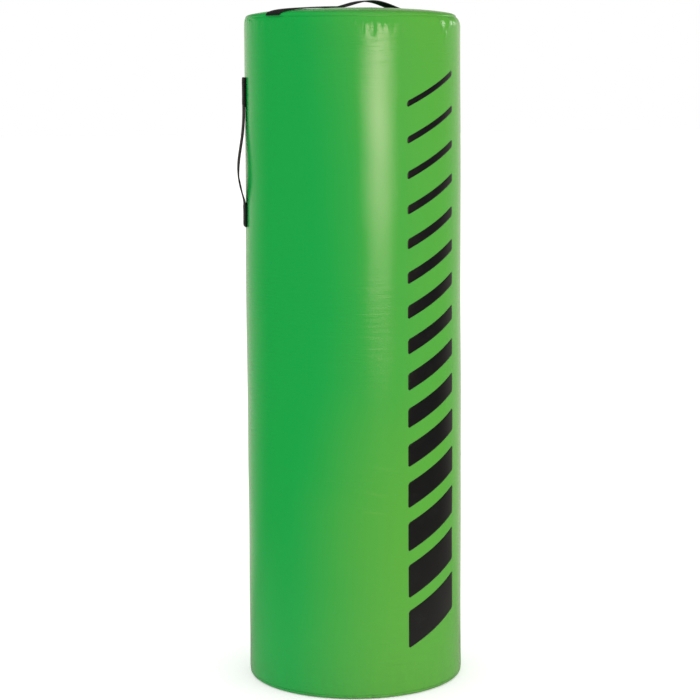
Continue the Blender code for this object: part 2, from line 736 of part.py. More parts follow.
def make_slider(material, axis):
    place = slider_place()
    plate = plate_outline()
    slider = prism("zip_slider", plate, PLATE_INNER, PLATE_OUTER, place, material)
    shapes = [prism("back_plate_shape", plate, -PLATE_OUTER, -PLATE_INNER, place, None)]

    tail = SLIDER_LENGTH / 2 - SLIDER_RAIL
    rail_foot = TAPE_THICKNESS / 2 + FIT_GAP
    for side in (1, -1):
        rail = [(-tail, side * RAIL_INNER), (tail, side * RAIL_INNER),
                (tail, side * (TAIL_HALF - BURIED)), (-tail, side * (TAIL_HALF - BURIED))]
        for low, high in ((rail_foot, PLATE_INNER + BURIED), (-PLATE_INNER - BURIED, -rail_foot)):
            shapes.append(prism("rail_shape", rail, low, high, place, None))

    nose = -SLIDER_LENGTH / 2 + SLIDER_RAIL
    half = DIVIDER_WIDTH / 2
    wedge = arc(nose + half, 0, half, 90, 270, 6) + [(nose + DIVIDER_LENGTH, -half / 3),
                                                      (nose + DIVIDER_LENGTH, half / 3)]
    shapes.append(prism("wedge_shape", wedge, -PLATE_INNER - BURIED, PLATE_INNER + BURIED, place, None))

    # The bridge's side view is drawn in x and z, and turned upright
    foot = PLATE_OUTER - BURIED
    reach = BRIDGE_LENGTH / 2
    crest = PLATE_OUTER + BRIDGE_HEIGHT
    knee = PLATE_OUTER + BRIDGE_HEIGHT / 2
    inner = reach - BRIDGE_BAR
    outline = [(reach, foot), (reach, knee), (reach / 2, crest), (-reach / 2, crest), (-reach, knee),
               (-reach, foot), (-inner, foot), (-inner, knee), (-inner / 2, crest - BRIDGE_BAR),
               (inner / 2, crest - BRIDGE_BAR), (inner, knee), (inner, foot)]
    upright = place @ Matrix.Rotation(math.radians(90), 4, "X")
    shapes.append(prism("bridge_shape", outline, -BRIDGE_WIDTH / 2, BRIDGE_WIDTH / 2, upright, None))
    shape_with(slider, shapes, "UNION")
    ease_edges(slider)
    slider.parent = axis
    slider.matrix_parent_inverse = axis.matrix_world.inverted()
    return slider


def make_pull_tab(material, slider):
    """The tab's cross bar turns under the bridge, so its object has its origin on that bar."""
    bar = TAB_THICKNESS / 2
    hinge_height = PLATE_OUTER + math.hypot(bar, bar) + FIT_GAP
    place = slider_place() @ Matrix.Translation((0, 0, hinge_height))
    half = TAB_WIDTH / 2
    neck = BRIDGE_WIDTH / 2 + TAB_ROOM + TAB_ARM
    round_end = arc(TAB_LENGTH - half, 0, half, -90, 90, 8)
    outline = [(-bar, -neck), (2 * neck, -neck), (3 * neck, -half)] + round_end
    outline += [(3 * neck, half), (2 * neck, neck), (-bar, neck)]
    still = Matrix.Identity(4)
    tab = prism("zip_pull_tab", outline, -bar, bar, still, material)

    reach = math.hypot(BRIDGE_LENGTH / 2, hinge_height - PLATE_OUTER + BURIED) + FIT_GAP
    eye = neck - TAB_ARM
    window = [(bar, -eye), (reach, -eye), (reach, eye), (bar, eye)]
    eye_shape = prism("eye_shape", window, -2 * bar, 2 * bar, still, None)
    hole = arc(TAB_LENGTH - half, 0, TAB_HOLE_RADIUS, 0, 330, 11)
    hole_shape = prism("hole_shape", hole, -2 * bar, 2 * bar, still, None)
    shape_with(tab, [eye_shape, hole_shape], "DIFFERENCE")
    ease_edges(tab)
    tab.matrix_world = place
    bpy.context.view_layer.update()
    tab.parent = slider
    tab.matrix_parent_inverse = slider.matrix_world.inverted()
    return tab


def make_slider_axis():
    axis = bpy.data.objects.new("slider_axis", None)
    axis.location = (0, 0, ZIP_HEIGHT)
    axis.empty_display_size = DIAMETER / 4
    bpy.context.collection.objects.link(axis)
    bpy.context.view_layer.update()
    return axis


def build():
    clear_scene()
    green = finish_of("green_cover", (0.047, 0.376, 0.064), 0.32)
    underside = finish_of("base_sheet", (0.047, 0.376, 0.064), 0.45)
    webbing = finish_of("webbing", (0.013, 0.013, 0.014), 0.75)
    tape = finish_of("zip_tape", (0.016, 0.016, 0.017), 0.80)
    moulded = finish_of("zip_teeth", (0.022, 0.022, 0.023), 0.40)
    metal = finish_of("slider_metal", (0.030, 0.030, 0.032), 0.35, 0.8)
    patch = finish_of("patch_cloth", (0.080, 0.080, 0.082), 0.50)
    dense = finish_of("dense_foam", (0.150, 0.160, 0.175), 0.95)
    soft = finish_of("soft_foam", (0.620, 0.610, 0.560), 0.95)

    make_side_wall(green)
    make_top_panel(green)
    make_base_panel(underside)
    make_bindings(tape)
    make_base_pad(dense)
    make_core(dense)
    make_sleeve(soft)
    make_top_pad(soft)
    make_side_handle(webbing)
    make_side_patches(patch)
    make_top_handle(webbing)
    make_top_patches(patch)
    make_zip_half("zip_half_upper", 1, moulded)
    make_zip_half("zip_half_lower", -1, moulded)
    make_zip_stops(metal)
    slider = make_slider(metal, make_slider_axis())
    bpy.context.view_layer.update()
    make_pull_tab(metal, slider)


build()
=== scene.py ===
import math

import bpy
import numpy as np
from mathutils import Matrix, Vector


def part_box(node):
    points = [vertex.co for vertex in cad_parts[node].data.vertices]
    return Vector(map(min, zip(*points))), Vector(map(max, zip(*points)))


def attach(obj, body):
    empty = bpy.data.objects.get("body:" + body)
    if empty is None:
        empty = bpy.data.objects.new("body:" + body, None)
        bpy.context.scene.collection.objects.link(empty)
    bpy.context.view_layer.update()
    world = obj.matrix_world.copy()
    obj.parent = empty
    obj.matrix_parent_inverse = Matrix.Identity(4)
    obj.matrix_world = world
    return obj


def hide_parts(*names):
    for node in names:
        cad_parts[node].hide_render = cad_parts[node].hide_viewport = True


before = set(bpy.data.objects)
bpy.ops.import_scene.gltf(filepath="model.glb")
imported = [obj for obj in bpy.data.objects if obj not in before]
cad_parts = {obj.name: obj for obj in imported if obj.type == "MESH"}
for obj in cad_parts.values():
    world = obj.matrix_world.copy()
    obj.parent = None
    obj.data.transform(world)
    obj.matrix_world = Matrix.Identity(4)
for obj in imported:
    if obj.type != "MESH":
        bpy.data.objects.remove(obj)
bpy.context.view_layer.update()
print("frame:", len(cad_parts), "pieces from the bench model")

# Lengths are metres and plan angles ("turns") are degrees from +X, unless a name says otherwise.
# What the frame holds is read from it, so that each piece lands on its neighbour.
wallLow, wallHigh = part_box("side_wall")
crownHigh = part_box("top_panel")[1]

bag = {
    "footRadius": wallHigh.x,
    "topRadius": crownHigh.x,
    "seamHeight": wallHigh.z,
    "crownRise": crownHigh.z - wallHigh.z,
    "crownCurve": 0.50,
    "footSeam": wallLow.z,
    "cloth": 0.0012,
    "baseCloth": 0.0016,
    "gap": 0.0003,
    "fin": 0.018,          # seam allowance, turned inwards; at the top seam it slopes
    "finSlope": 30.0,
}


def wallRadius(height):
    share = height / bag["seamHeight"]
    return bag["footRadius"] + (bag["topRadius"] - bag["footRadius"]) * share


def apart(turns, middle):
    # signed distance round the wall, the short way
    return np.radians((turns - middle + 180) % 360 - 180) * bag["topRadius"]


def smooth(share):
    share = np.clip(share, 0, 1)
    return share * share * (3 - 2 * share)


def aroundPoint(turn, radius, height):
    return (radius * math.cos(math.radians(turn)), radius * math.sin(math.radians(turn)), height)


def turnedPoint(turn, reach, across):
    # level place of a point so far along a plan angle and so far across it
    turn = math.radians(turn)
    return reach * math.cos(turn) - across * math.sin(turn), reach * math.sin(turn) + across * math.cos(turn)


# Meshes

def meshPiece(name, points, faces, material, clothMap=None, bakeMap=None):
    mesh = bpy.data.meshes.new(name)
    spots = [tuple(map(float, point)) for point in points]
    mesh.from_pydata(spots, [], [tuple(map(int, face)) for face in faces])
    mesh.update()
    for layerName, values in (("cloth", clothMap), ("OFBake", bakeMap)):
        if values is not None:
            addMap(mesh, layerName, np.asarray(values, float))
    mesh.shade_smooth()
    mesh.materials.append(material)
    piece = bpy.data.objects.new(name, mesh)
    bpy.context.scene.collection.objects.link(piece)
    return piece


def addMap(mesh, layerName, values):
    # a face that crosses the end of the map takes the far end's value for its low corners
    corners = np.zeros(len(mesh.loops), np.int32)
    mesh.loops.foreach_get("vertex_index", corners)
    starts = np.zeros(len(mesh.polygons), np.int32)
    mesh.polygons.foreach_get("loop_start", starts)
    counts = np.diff(np.append(starts, len(corners)))
    spots = values[corners]
    across = spots[:, 0]
    width = values[:, 0].max() - values[:, 0].min()
    highest = np.repeat(np.maximum.reduceat(across, starts), counts)
    lowest = np.repeat(np.minimum.reduceat(across, starts), counts)
    crossing = (highest - lowest > 0.7 * width) & (across < lowest + 0.5 * width)
    pitch = np.diff(np.unique(np.round(values[:, 0], 6))).max()
    spots[crossing, 0] += width + pitch
    layer = mesh.uv_layers.new(name=layerName, do_init=False)
    layer.uv.foreach_set("vector", spots.astype(np.float32).ravel())


def joinRings(faces, first, firstTurns, second, secondTurns, gap=None):
    # Two rings of points become faces, apart from a gap. Where one has more columns, its extra ones go into
    # the faces beside them.
    if len(firstTurns) == len(secondTurns):
        count = len(firstTurns)
        for column in range(count):
            after = (column + 1) % count
            if gap is None or not (gap[column] and gap[after]):
                faces.append((first + column, first + after, second + after, second + column))
        return
    flip = len(firstTurns) > len(secondTurns)
    fine, fineTurns = (first, firstTurns) if flip else (second, secondTurns)
    wide, wideTurns = (second, secondTurns) if flip else (first, firstTurns)
    places = np.searchsorted(fineTurns, wideTurns)
    for column in range(len(wideTurns)):
        after = (column + 1) % len(wideTurns)
        last = places[after] if after else places[0] + len(fineTurns)
        between = [fine + step % len(fineTurns) for step in range(places[column], last + 1)]
        if flip:
            faces.append((*between, wide + after, wide + column))
        else:
            faces.append((wide + column, wide + after, *reversed(between)))


def ride(piece, slotName, *nodes, body="root"):
    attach(piece, body)
    if nodes:
        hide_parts(*nodes)
    return piece


# Materials are built from nodes, with patterns in real lengths: maps named "cloth" are in metres.
# "grains" are the noises of a finish: how fine, how much detail, how rough, and how it is stretched.

def setInputs(tree, made, inputs):
    for key, value in inputs.items():
        if isinstance(value, bpy.types.NodeSocket):
            tree.links.new(value, made.inputs[key])
        else:
            made.inputs[key].default_value = value


def node(tree, kind, inputs=None, **settings):
    made = tree.nodes.new("ShaderNode" + kind)
    for key, value in settings.items():
        setattr(made, key, value)
    setInputs(tree, made, inputs or {})
    return made


def sums(tree, operation, *values):
    return node(tree, "Math", dict(enumerate(values)), operation=operation).outputs[0]


def add(tree, first, second):
    return sums(tree, "ADD", first, second)


def times(tree, first, second):
    return sums(tree, "MULTIPLY", first, second)


def scaled(tree, value, factor, start):
    return sums(tree, "MULTIPLY_ADD", value, factor, start)


def wave(tree, value, length):
    return sums(tree, "SINE", times(tree, value, 2 * math.pi / length))


def eased(tree, value, low, high):
    limits = {"Value": value, "From Min": low, "From Max": high}
    return node(tree, "MapRange", limits, interpolation_type="SMOOTHSTEP").outputs[0]


def ramp(tree, value, stops):
    made = node(tree, "ValToRGB", {"Fac": value})
    elements = made.color_ramp.elements
    while len(elements) < len(stops):
        elements.new(0.5)
    for element, (place, colour) in zip(elements, stops):
        element.position = place
        element.color = (*colour, 1) if isinstance(colour, tuple) else (colour, colour, colour, 1)
    return made.outputs["Color"]


def mixed(tree, share, *colours):
    inputs = {0: share}
    for place, colour in enumerate(colours, 6):
        inputs[place] = colour if isinstance(colour, bpy.types.NodeSocket) else (*colour, 1)
    return node(tree, "Mix", inputs, data_type="RGBA").outputs[2]


def noise(tree, where, scale, detail=3.0, roughness=0.5, stretch=None):
    if stretch is not None:
        where = node(tree, "Mapping", {"Vector": where, "Scale": stretch}).outputs[0]
    inputs = {"Vector": where, "Scale": scale, "Detail": detail, "Roughness": roughness}
    return node(tree, "TexNoise", inputs).outputs["Fac"]


def bumps(tree, *layers):
    # each layer, from the coarsest: its height, how strong it is and how deep
    below = {}
    for height, strength, depth in layers:
        inputs = {"Height": height, "Strength": strength, "Distance": depth, **below}
        below = {"Normal": node(tree, "Bump", inputs).outputs["Normal"]}
    return below["Normal"]


def onPiece(tree):
    return node(tree, "TexCoord").outputs["Object"]


def split(tree, vector):
    return node(tree, "SeparateXYZ", {"Vector": vector}).outputs


def fromAxis(tree, spot):
    across, along = (times(tree, spot[axis], spot[axis]) for axis in "XY")
    return sums(tree, "SQRT", add(tree, across, along))


def towards(tree, spot, turn):
    # how far a point lies towards a plan angle
    turn = math.radians(turn)
    return add(tree, times(tree, spot["X"], math.cos(turn)), times(tree, spot["Y"], math.sin(turn)))


def newMaterial(name, plan):
    material = bpy.data.materials.new(name)
    material.use_nodes = True
    tree = material.node_tree
    tree.nodes.clear()
    output = tree.nodes.new("ShaderNodeOutputMaterial")
    shader = tree.nodes.new("ShaderNodeBsdfPrincipled")
    tree.links.new(shader.outputs["BSDF"], output.inputs["Surface"])
    grains = {grain: noise(tree, onPiece(tree), *settings) for grain, settings in plan["grains"].items()}
    return material, tree, shader, grains


coatedCloth = {
    "shade": (0.0095, 0.3800, 0.0620),     # painted shade: the bluer green painted on the side turned away from the light
    "paintedLitGreen": (0.1080, 0.4150, 0.0500),    # painted light: the yellower green painted on the side turned towards the light
    # plan angle where the painted light is strongest
    "paintedLightTurn": 322.0,
    # how much further round the painted light reaches, from the floor to the crown
    "paintedLightByHeight": [(0.00, 0.60), (0.28, 0.60), (0.48, 0.26), (0.78, 0.26), (1.00, 0.42)],
    "paintedLightReach": (-0.05, 1.12),
    "blotches": 0.24,
    "grime": (0.060, 0.120, 0.050),
    "grimeTop": 0.10,
    "scuffs": 0.12,
    "roughness": 0.13,
    "gloss": 0.5,
    "scrim": 0.0011,                       # pitch of the woven scrim that prints through the coat
    "scrimDepth": 0.00003,
    "orangePeel": 0.00008,
    "creaseDepth": 0.00055,
    "rippleDepth": 0.00011,                # small soft ripples that break up the highlight
    "grains": {
        "blotch": (3.2, 2.0),
        "rubbed": (9.0, 6.0, 0.62),
        "dust": (60.0, 5.0, 0.6, (1, 1, 0.35)),
        "peel": (140.0, 2.0),
        "creases": (16.0, 4.0, 0.55, (1.0, 1.0, 9.0)),
        "creased": (2.6, 1.0),
        "ripples": (34.0, 3.0, 0.5, (1.0, 1.0, 2.8)),
        "patchy": (5.0, 2.0),
    },
}


def makeCoatedCloth(name, plan):
    material, tree, shader, grains = newMaterial(name, plan)
    spot = split(tree, onPiece(tree))

    # painted light and shade: a broad lobe round the bag, yellower towards one side and bluer on the other,
    # moved about by soft random blotches
    reach = sums(tree, "MAXIMUM", fromAxis(tree, spot), 0.05)
    lobe = sums(tree, "DIVIDE", towards(tree, spot, plan["paintedLightTurn"]), reach)
    climb = sums(tree, "DIVIDE", spot["Z"], bag["seamHeight"])
    level = sums(tree, "SUBTRACT", ramp(tree, climb, plan["paintedLightByHeight"]), plan["paintedLightByHeight"][-1][1])
    blotches = scaled(tree, grains["blotch"], plan["blotches"], -plan["blotches"] / 2)
    paintedLightShare = eased(tree, add(tree, add(tree, lobe, level), blotches), *plan["paintedLightReach"])
    colour = mixed(tree, paintedLightShare, plan["shade"], plan["paintedLitGreen"])

    # handling marks and floor grime, darker and duller than the clean coat
    low = node(tree, "MapRange", {"Value": spot["Z"], "From Min": 0.0, "From Max": plan["grimeTop"],
                                  "To Min": 1.0, "To Max": 0.0}, clamp=True).outputs[0]
    dust = ramp(tree, grains["dust"], [(0.45, 0.0), (0.72, 1.0)])
    grime = times(tree, times(tree, dust, low), plan["scuffs"])
    dull = scaled(tree, grains["rubbed"], 0.10, plan["roughness"] - 0.05)

    # woven scrim, a faint orange peel and fine level creases that the coat takes when the bag is bent
    yarns = split(tree, node(tree, "UVMap", uv_map="cloth").outputs["UV"])
    warp, weft = (wave(tree, yarns[axis], plan["scrim"]) for axis in "XY")
    creased = ramp(tree, grains["creased"], [(0.42, 0.0), (0.62, 1.0)])
    creases = times(tree, ramp(tree, grains["creases"], [(0.38, 0.0), (0.62, 1.0)]), creased)
    ripples = times(tree, grains["ripples"], ramp(tree, grains["patchy"], [(0.35, 0.15), (0.65, 1.0)]))
    setInputs(tree, shader, {
        "Base Color": mixed(tree, grime, colour, plan["grime"]),
        "Roughness": add(tree, dull, times(tree, grime, 0.35)),
        "Specular IOR Level": plan["gloss"],
        "IOR": 1.5,
        "Normal": bumps(tree, (times(tree, warp, weft), 0.6, plan["scrimDepth"]),
                        (grains["peel"], 0.5, plan["orangePeel"]), (creases, 0.5, plan["creaseDepth"]),
                        (ripples, 1.0, plan["rippleDepth"])),
    })
    return material


inkFilm = {
    "colour": (0.0065, 0.0065, 0.0070),
    "worn": (0.030, 0.040, 0.030),
    "roughness": 0.28,
    "skin": 0.00006,
    "grains": {"patchy": (22.0, 5.0, 0.6), "speck": (420.0, 3.0, 0.6), "skin": (240.0, 2.0)},
}


def makeInk(plan):
    material, tree, shader, grains = newMaterial("stripeInk", plan)
    worn = times(tree, ramp(tree, grains["patchy"], [(0.50, 0.0), (0.75, 1.0)]),
                 ramp(tree, grains["speck"], [(0.50, 0.0), (0.66, 1.0)]))
    setInputs(tree, shader, {
        "Base Color": mixed(tree, times(tree, worn, 0.5), plan["colour"], plan["worn"]),
        "Roughness": scaled(tree, grains["patchy"], 0.16, plan["roughness"] - 0.06),
        "Normal": bumps(tree, (grains["skin"], 0.5, plan["skin"])),
    })
    return material


blackWebbing = {
    "colour": (0.0055, 0.0055, 0.0060),
    "pale": (0.0150, 0.0150, 0.0160),
    "pick": 0.0016,
    "end": 0.0021,
    "wrapped": False,
    "sheen": (0.04, 0.45),
    "yarnDepth": 0.00022,
    "fibreDepth": 0.00008,
    "grains": {"fibre": (1500.0, 3.0, 0.6), "fuzz": (45.0, 4.0, 0.6)},
}


def makeWebbing(name, plan):
    # a plain weave: the picks cross the ends, each over one and under the next
    material, tree, shader, grains = newMaterial(name, plan)
    if plan["wrapped"]:
        # tape and patches that lie on the bag: their ends run up the wall, or towards the middle of the crown
        spot = split(tree, onPiece(tree))
        crosswise = times(tree, sums(tree, "ARCTAN2", spot["Y"], spot["X"]), bag["topRadius"])
        lengthwise = sums(tree, "SUBTRACT", spot["Z"], fromAxis(tree, spot))
    else:
        crosswise, lengthwise, _ = split(tree, node(tree, "UVMap", uv_map="cloth").outputs["UV"])
    ends = sums(tree, "DIVIDE", crosswise, plan["end"])
    picks = sums(tree, "DIVIDE", lengthwise, plan["pick"])
    over = add(tree, picks, times(tree, sums(tree, "FLOOR", ends), 0.5))
    across, along = (sums(tree, "ABSOLUTE", wave(tree, value, 2)) for value in (ends, over))
    yarn = times(tree, sums(tree, "POWER", across, 0.5), sums(tree, "POWER", along, 0.6))
    tone = add(tree, times(tree, yarn, 0.6), times(tree, grains["fuzz"], 0.5))
    setInputs(tree, shader, {
        "Base Color": mixed(tree, tone, plan["colour"], plan["pale"]),
        "Roughness": scaled(tree, grains["fibre"], 0.25, 0.50),
        "Sheen Weight": plan["sheen"][0],
        "Sheen Roughness": plan["sheen"][1],
        "Normal": bumps(tree, (yarn, 0.9, plan["yarnDepth"]), (grains["fibre"], 0.35, plan["fibreDepth"])),
    })
    return material


bondedThread = {"roughness": 0.45, "plyDepth": 0.00008, "grains": {"plies": (900.0, 2.0)}}


def makeThread(name, colour, plan):
    # its plies wind along it
    material, tree, shader, grains = newMaterial(name, plan)
    setInputs(tree, shader, {
        "Base Color": mixed(tree, grains["plies"], colour, tuple(1.7 * value + 0.004 for value in colour)),
        "Roughness": plan["roughness"],
        "Normal": bumps(tree, (grains["plies"], 0.6, plan["plyDepth"])),
    })
    return material


zipFinish = {
    "middle": 0.036,
    "bead": 0.0041,
    "tape": (0.0100, 0.0100, 0.0108),
    "paleTape": (0.022, 0.022, 0.024),
    "tooth": (0.0170, 0.0170, 0.0180),
    "twill": (0.0011, 0.0013),
    "twillDepth": 0.00014,
    "grains": {"tape": (700.0, 3.0)},
}


def makeZip(plan):
    # woven tape with moulded teeth on its edge, told apart by their distance from the zip's middle
    material, tree, shader, grains = newMaterial("zipTapeAndTeeth", plan)
    spot = split(tree, onPiece(tree))
    away = sums(tree, "ABSOLUTE", sums(tree, "SUBTRACT", spot["Z"], plan["middle"]))
    moulded = sums(tree, "LESS_THAN", away, plan["bead"])
    rows = wave(tree, spot["Z"], plan["twill"][0])
    columns = wave(tree, sums(tree, "ARCTAN2", spot["Y"], spot["X"]), plan["twill"][1] / bag["footRadius"])
    twill = times(tree, times(tree, rows, columns), sums(tree, "SUBTRACT", 1.0, moulded))
    tape = mixed(tree, grains["tape"], plan["tape"], plan["paleTape"])
    setInputs(tree, shader, {
        "Base Color": mixed(tree, moulded, tape, plan["tooth"]),
        "Roughness": scaled(tree, grains["tape"], 0.10, scaled(tree, moulded, -0.42, 0.78)),
        "Normal": bumps(tree, (twill, 0.7, plan["twillDepth"]), (grains["tape"], 0.25, 0.00005)),
    })
    return material


blackEnamel = {
    "colour": (0.012, 0.012, 0.013),
    "zinc": (0.36, 0.36, 0.35),
    "grains": {"patches": (260.0, 5.0, 0.65), "scratches": (900.0, 3.0, 0.6, (1.0, 1.0, 0.12))},
}


def makeEnamel(plan):
    # black enamel on a zinc casting, rubbed through here and there
    material, tree, shader, grains = newMaterial("blackEnamel", plan)
    bare = times(tree, ramp(tree, grains["patches"], [(0.56, 0.0), (0.66, 1.0)]),
                 ramp(tree, grains["scratches"], [(0.46, 0.0), (0.60, 1.0)]))
    setInputs(tree, shader, {
        "Base Color": mixed(tree, bare, plan["colour"], plan["zinc"]),
        "Metallic": bare,
        "Roughness": scaled(tree, grains["scratches"], 0.20, 0.20),
        "Normal": bumps(tree, (grains["scratches"], 0.3, 0.00005)),
    })
    return material


denseCrumb = {
    "colours": [(0.050, 0.070, 0.120), (0.230, 0.210, 0.200), (0.120, 0.030, 0.030), (0.420, 0.400, 0.330)],
    "crumb": 95.0,
    "crumbDepth": 0.0008,
    "poreDepth": 0.0003,
    "grains": {"pores": (1400.0, 4.0, 0.7)},
}
softCrumb = {**denseCrumb, "colours": [(0.560, 0.545, 0.480), (0.640, 0.630, 0.580)], "crumb": 260.0}


def makeFoamCrumb(name, plan):
    material, tree, shader, grains = newMaterial(name, plan)
    crumbs = node(tree, "TexVoronoi", {"Vector": onPiece(tree), "Scale": plan["crumb"]}, feature="F1").outputs
    last = len(plan["colours"])
    stops = [((index + 0.5) / last, colour) for index, colour in enumerate(plan["colours"])]
    setInputs(tree, shader, {
        "Base Color": ramp(tree, split(tree, crumbs["Color"])["X"], stops),
        "Roughness": scaled(tree, grains["pores"], 0.1, 0.86),
        "Normal": bumps(tree, (crumbs["Distance"], 0.6, plan["crumbDepth"]),
                        (grains["pores"], 0.7, plan["poreDepth"])),
    })
    return material


green = makeCoatedCloth("greenCoatedCloth", coatedCloth)
greenCrown = makeCoatedCloth("greenCrownCloth", {**coatedCloth, "roughness": 0.20, "gloss": 0.32})
greenBase = makeCoatedCloth("greenBaseCloth", {**coatedCloth, "roughness": 0.30, "scrim": 0.0016,
                                               "scrimDepth": 0.00006, "scuffs": 0.40})
ink = makeInk(inkFilm)
webbing = makeWebbing("blackWebbing", blackWebbing)
tapeCloth = makeWebbing("blackBindingTape", {**blackWebbing, "pick": 0.0009, "end": 0.0011, "wrapped": True})
patchCloth = makeWebbing("greyPatchCloth", {**blackWebbing, "colour": (0.060, 0.060, 0.062), "pick": 0.0010,
                                            "pale": (0.105, 0.105, 0.108), "end": 0.0010, "wrapped": True})
blackThread = makeThread("blackThread", (0.010, 0.010, 0.011), bondedThread)
greenThread = makeThread("greenThread", (0.020, 0.280, 0.050), bondedThread)
zipBlack = makeZip(zipFinish)
enamel = makeEnamel(blackEnamel)
denseFoam = makeFoamCrumb("denseCrumbFoam", denseCrumb)
softFoam = makeFoamCrumb("softFoam", softCrumb)
print("materials:", len(bpy.data.materials))

# Cover: how the cloth stands off or dips below a straight wall

coverFolds = {
    "seamDip": 0.0009,
    "seamReach": 0.0024,
    "shoulder": (0.0020, 0.0062),     # how far the seam draws the wall in: all round, and more on one side
    "shoulderReach": 0.0240,
    "shoulderTurn": 345.0,
    "unevenSeed": 11,
    "uneven": 0.00055,
    # how often each wave goes round, how often it goes up, and its weight
    "waves": ((2, 0.9, 1.0), (3, 1.7, 0.7), (1, 2.6, 0.6), (5, 3.9, 0.4), (7, 6.0, 0.28), (4, 8.5, 0.22),
              (9, 5.1, 0.20)),
    "topPuckers": {"seed": 5, "count": 96, "width": (0.0022, 0.0062), "length": (0.0035, 0.0105),
                   "rise": (-0.00085, 0.00050), "lean": 0.30},
    "footPuckers": {"seed": 23, "count": 84, "width": (0.0025, 0.0065), "length": (0.0030, 0.0070),
                    "rise": (-0.00025, 0.00015), "lean": 0.30},
    # each crease: plan angle and height of both ends, half width, rise (below zero goes in)
    "creases": [
        # tongue-shaped gather and its neighbours, over the brightest part of the cloth
        (271.4, 1.3900, 272.0, 1.3445, 0.0078, -0.00190),
        (268.3, 1.3760, 268.0, 1.3480, 0.0030, 0.00060),
        (276.4, 1.3860, 277.4, 1.3600, 0.0026, -0.00075),
        (279.4, 1.3700, 279.9, 1.3560, 0.0030, 0.00055),
        (263.1, 1.3800, 262.5, 1.3690, 0.0024, 0.00060),
        # fork under the seam, near the edge of the view
        (311.2, 1.3835, 316.2, 1.3580, 0.0056, 0.00260),
        (324.6, 1.3835, 320.6, 1.3620, 0.0056, 0.00260),
        (318.2, 1.3850, 319.4, 1.3720, 0.0034, -0.00150),
        (319.2, 1.3550, 317.6, 1.3400, 0.0050, 0.00200),
        (328.6, 1.3840, 327.0, 1.3640, 0.0030, 0.00110),
        (298.2, 1.3800, 298.8, 1.3600, 0.0032, 0.00060),
        (294.0, 1.3790, 294.6, 1.3640, 0.0028, 0.00045),
        # fine level crease across the highlight
        (269.0, 1.1395, 283.0, 1.1335, 0.0024, -0.00025),
        (187.5, 1.3830, 197.0, 1.3800, 0.0026, -0.00090),
        # where the bag was last bent over: long shallow folds across it
        (216.0, 0.4800, 238.0, 0.4685, 0.0050, 0.00050),
        (238.0, 0.4685, 252.0, 0.4570, 0.0050, 0.00060),
        (252.0, 0.4570, 272.0, 0.4510, 0.0048, 0.00055),
        (268.0, 0.4840, 292.0, 0.4600, 0.0045, 0.00045),
        (262.0, 0.4420, 279.0, 0.4250, 0.0042, -0.00065),
        (258.0, 0.4030, 280.0, 0.3865, 0.0042, -0.00060),
        (261.0, 0.3760, 269.0, 0.3735, 0.0036, -0.00045),
        (230.0, 0.4300, 250.0, 0.4180, 0.0045, 0.00035),
        (226.0, 0.4080, 246.0, 0.4010, 0.0045, -0.00030),
        (260.5, 0.3345, 267.0, 0.3325, 0.0026, -0.00055),
        (284.0, 0.4290, 300.0, 0.4200, 0.0050, 0.00035),
        # above the foot
        (266.0, 0.0735, 297.0, 0.0615, 0.0036, -0.00060),
        (266.0, 0.0790, 290.0, 0.0690, 0.0040, 0.00035),
        (274.0, 0.0250, 283.0, 0.0230, 0.0022, -0.00050),
        # the same kind of folds where other views see them
        (30.0, 0.5600, 62.0, 0.5430, 0.0052, 0.00050),
        (44.0, 0.5250, 80.0, 0.5060, 0.0050, -0.00055),
        (118.0, 0.4700, 150.0, 0.4890, 0.0052, 0.00050),
        (126.0, 0.4380, 160.0, 0.4540, 0.0048, -0.00050),
        (340.0, 0.4700, 372.0, 0.4800, 0.0050, 0.00045),
        (346.0, 0.4360, 366.0, 0.4400, 0.0048, -0.00050),
    ],
    "lapStart": 96.0,
    "lapWidth": 0.0250,
    "lapRunout": 0.0080,
    "slotLow": 0.0280,
    "slotHigh": 0.0440,
    "slotStart": 29.9,
    "slotEnd": 150.1,
    # the zip's hem: distance from the slot's edge, and rise there
    "hem": ((0, 0.0006, 0.0016, 0.0034, 0.0055, 0.0100), (-0.00035, 0.0002, 0.00055, 0.00005, 0.00025, 0)),
    "hemRipple": 0.00016,
    "hemPitch": 0.013,
    "thickest": 0.0012,        # the most that a dent on the crown or inside the wall goes in
    "gathered": ((260.25, 283), (308.25, 330)),
}


def puckers(turns, reach, plan):
    # gathers beside a seam: nothing on the seam itself, most a few millimetres from it
    draw = np.random.default_rng(plan["seed"])
    rise = np.zeros(np.broadcast(turns, reach).shape)
    for place in range(plan["count"]):
        middle = (place + draw.uniform(-0.45, 0.45)) * 360 / plan["count"]
        width = draw.uniform(*plan["width"])
        length = draw.uniform(*plan["length"])
        height = draw.uniform(*plan["rise"])
        lean = draw.uniform(-plan["lean"], plan["lean"])
        across = apart(turns, middle) - lean * reach
        rise += height * np.exp(-(across / width) ** 2) * reach / length * np.exp(1 - reach / length)
    return rise


def creaseRise(turns, heights, creases):
    rise = np.zeros(np.broadcast(turns, heights).shape)
    for startTurn, startHeight, endTurn, endHeight, width, depth in creases:
        across = apart(turns, startTurn)
        runAcross = math.radians(endTurn - startTurn) * bag["topRadius"]
        runUp = endHeight - startHeight
        share = (across * runAcross + (heights - startHeight) * runUp) / (runAcross ** 2 + runUp ** 2)
        share = np.clip(share, 0, 1)
        away = np.hypot(across - share * runAcross, heights - startHeight - share * runUp) / width
        taper = np.sin(math.pi * (0.06 + 0.88 * share)) ** 0.8
        rise += depth * taper * (1 - 0.35 * away ** 2) * np.exp(-away ** 2)
    return rise


def unevenRise(turns, heights, seed, size):
    # the foam under the cloth isn't quite round: a few slow waves round it and up it
    draw = np.random.default_rng(seed)
    rise = np.zeros(np.broadcast(turns, heights).shape)
    for around, up, weight in coverFolds["waves"]:
        phase, climb = draw.uniform(0, 2 * math.pi, 2)
        rise += weight * np.cos(around * np.radians(turns) + phase) * np.cos(
            2 * math.pi * up * heights / bag["seamHeight"] + climb)
    return size * rise


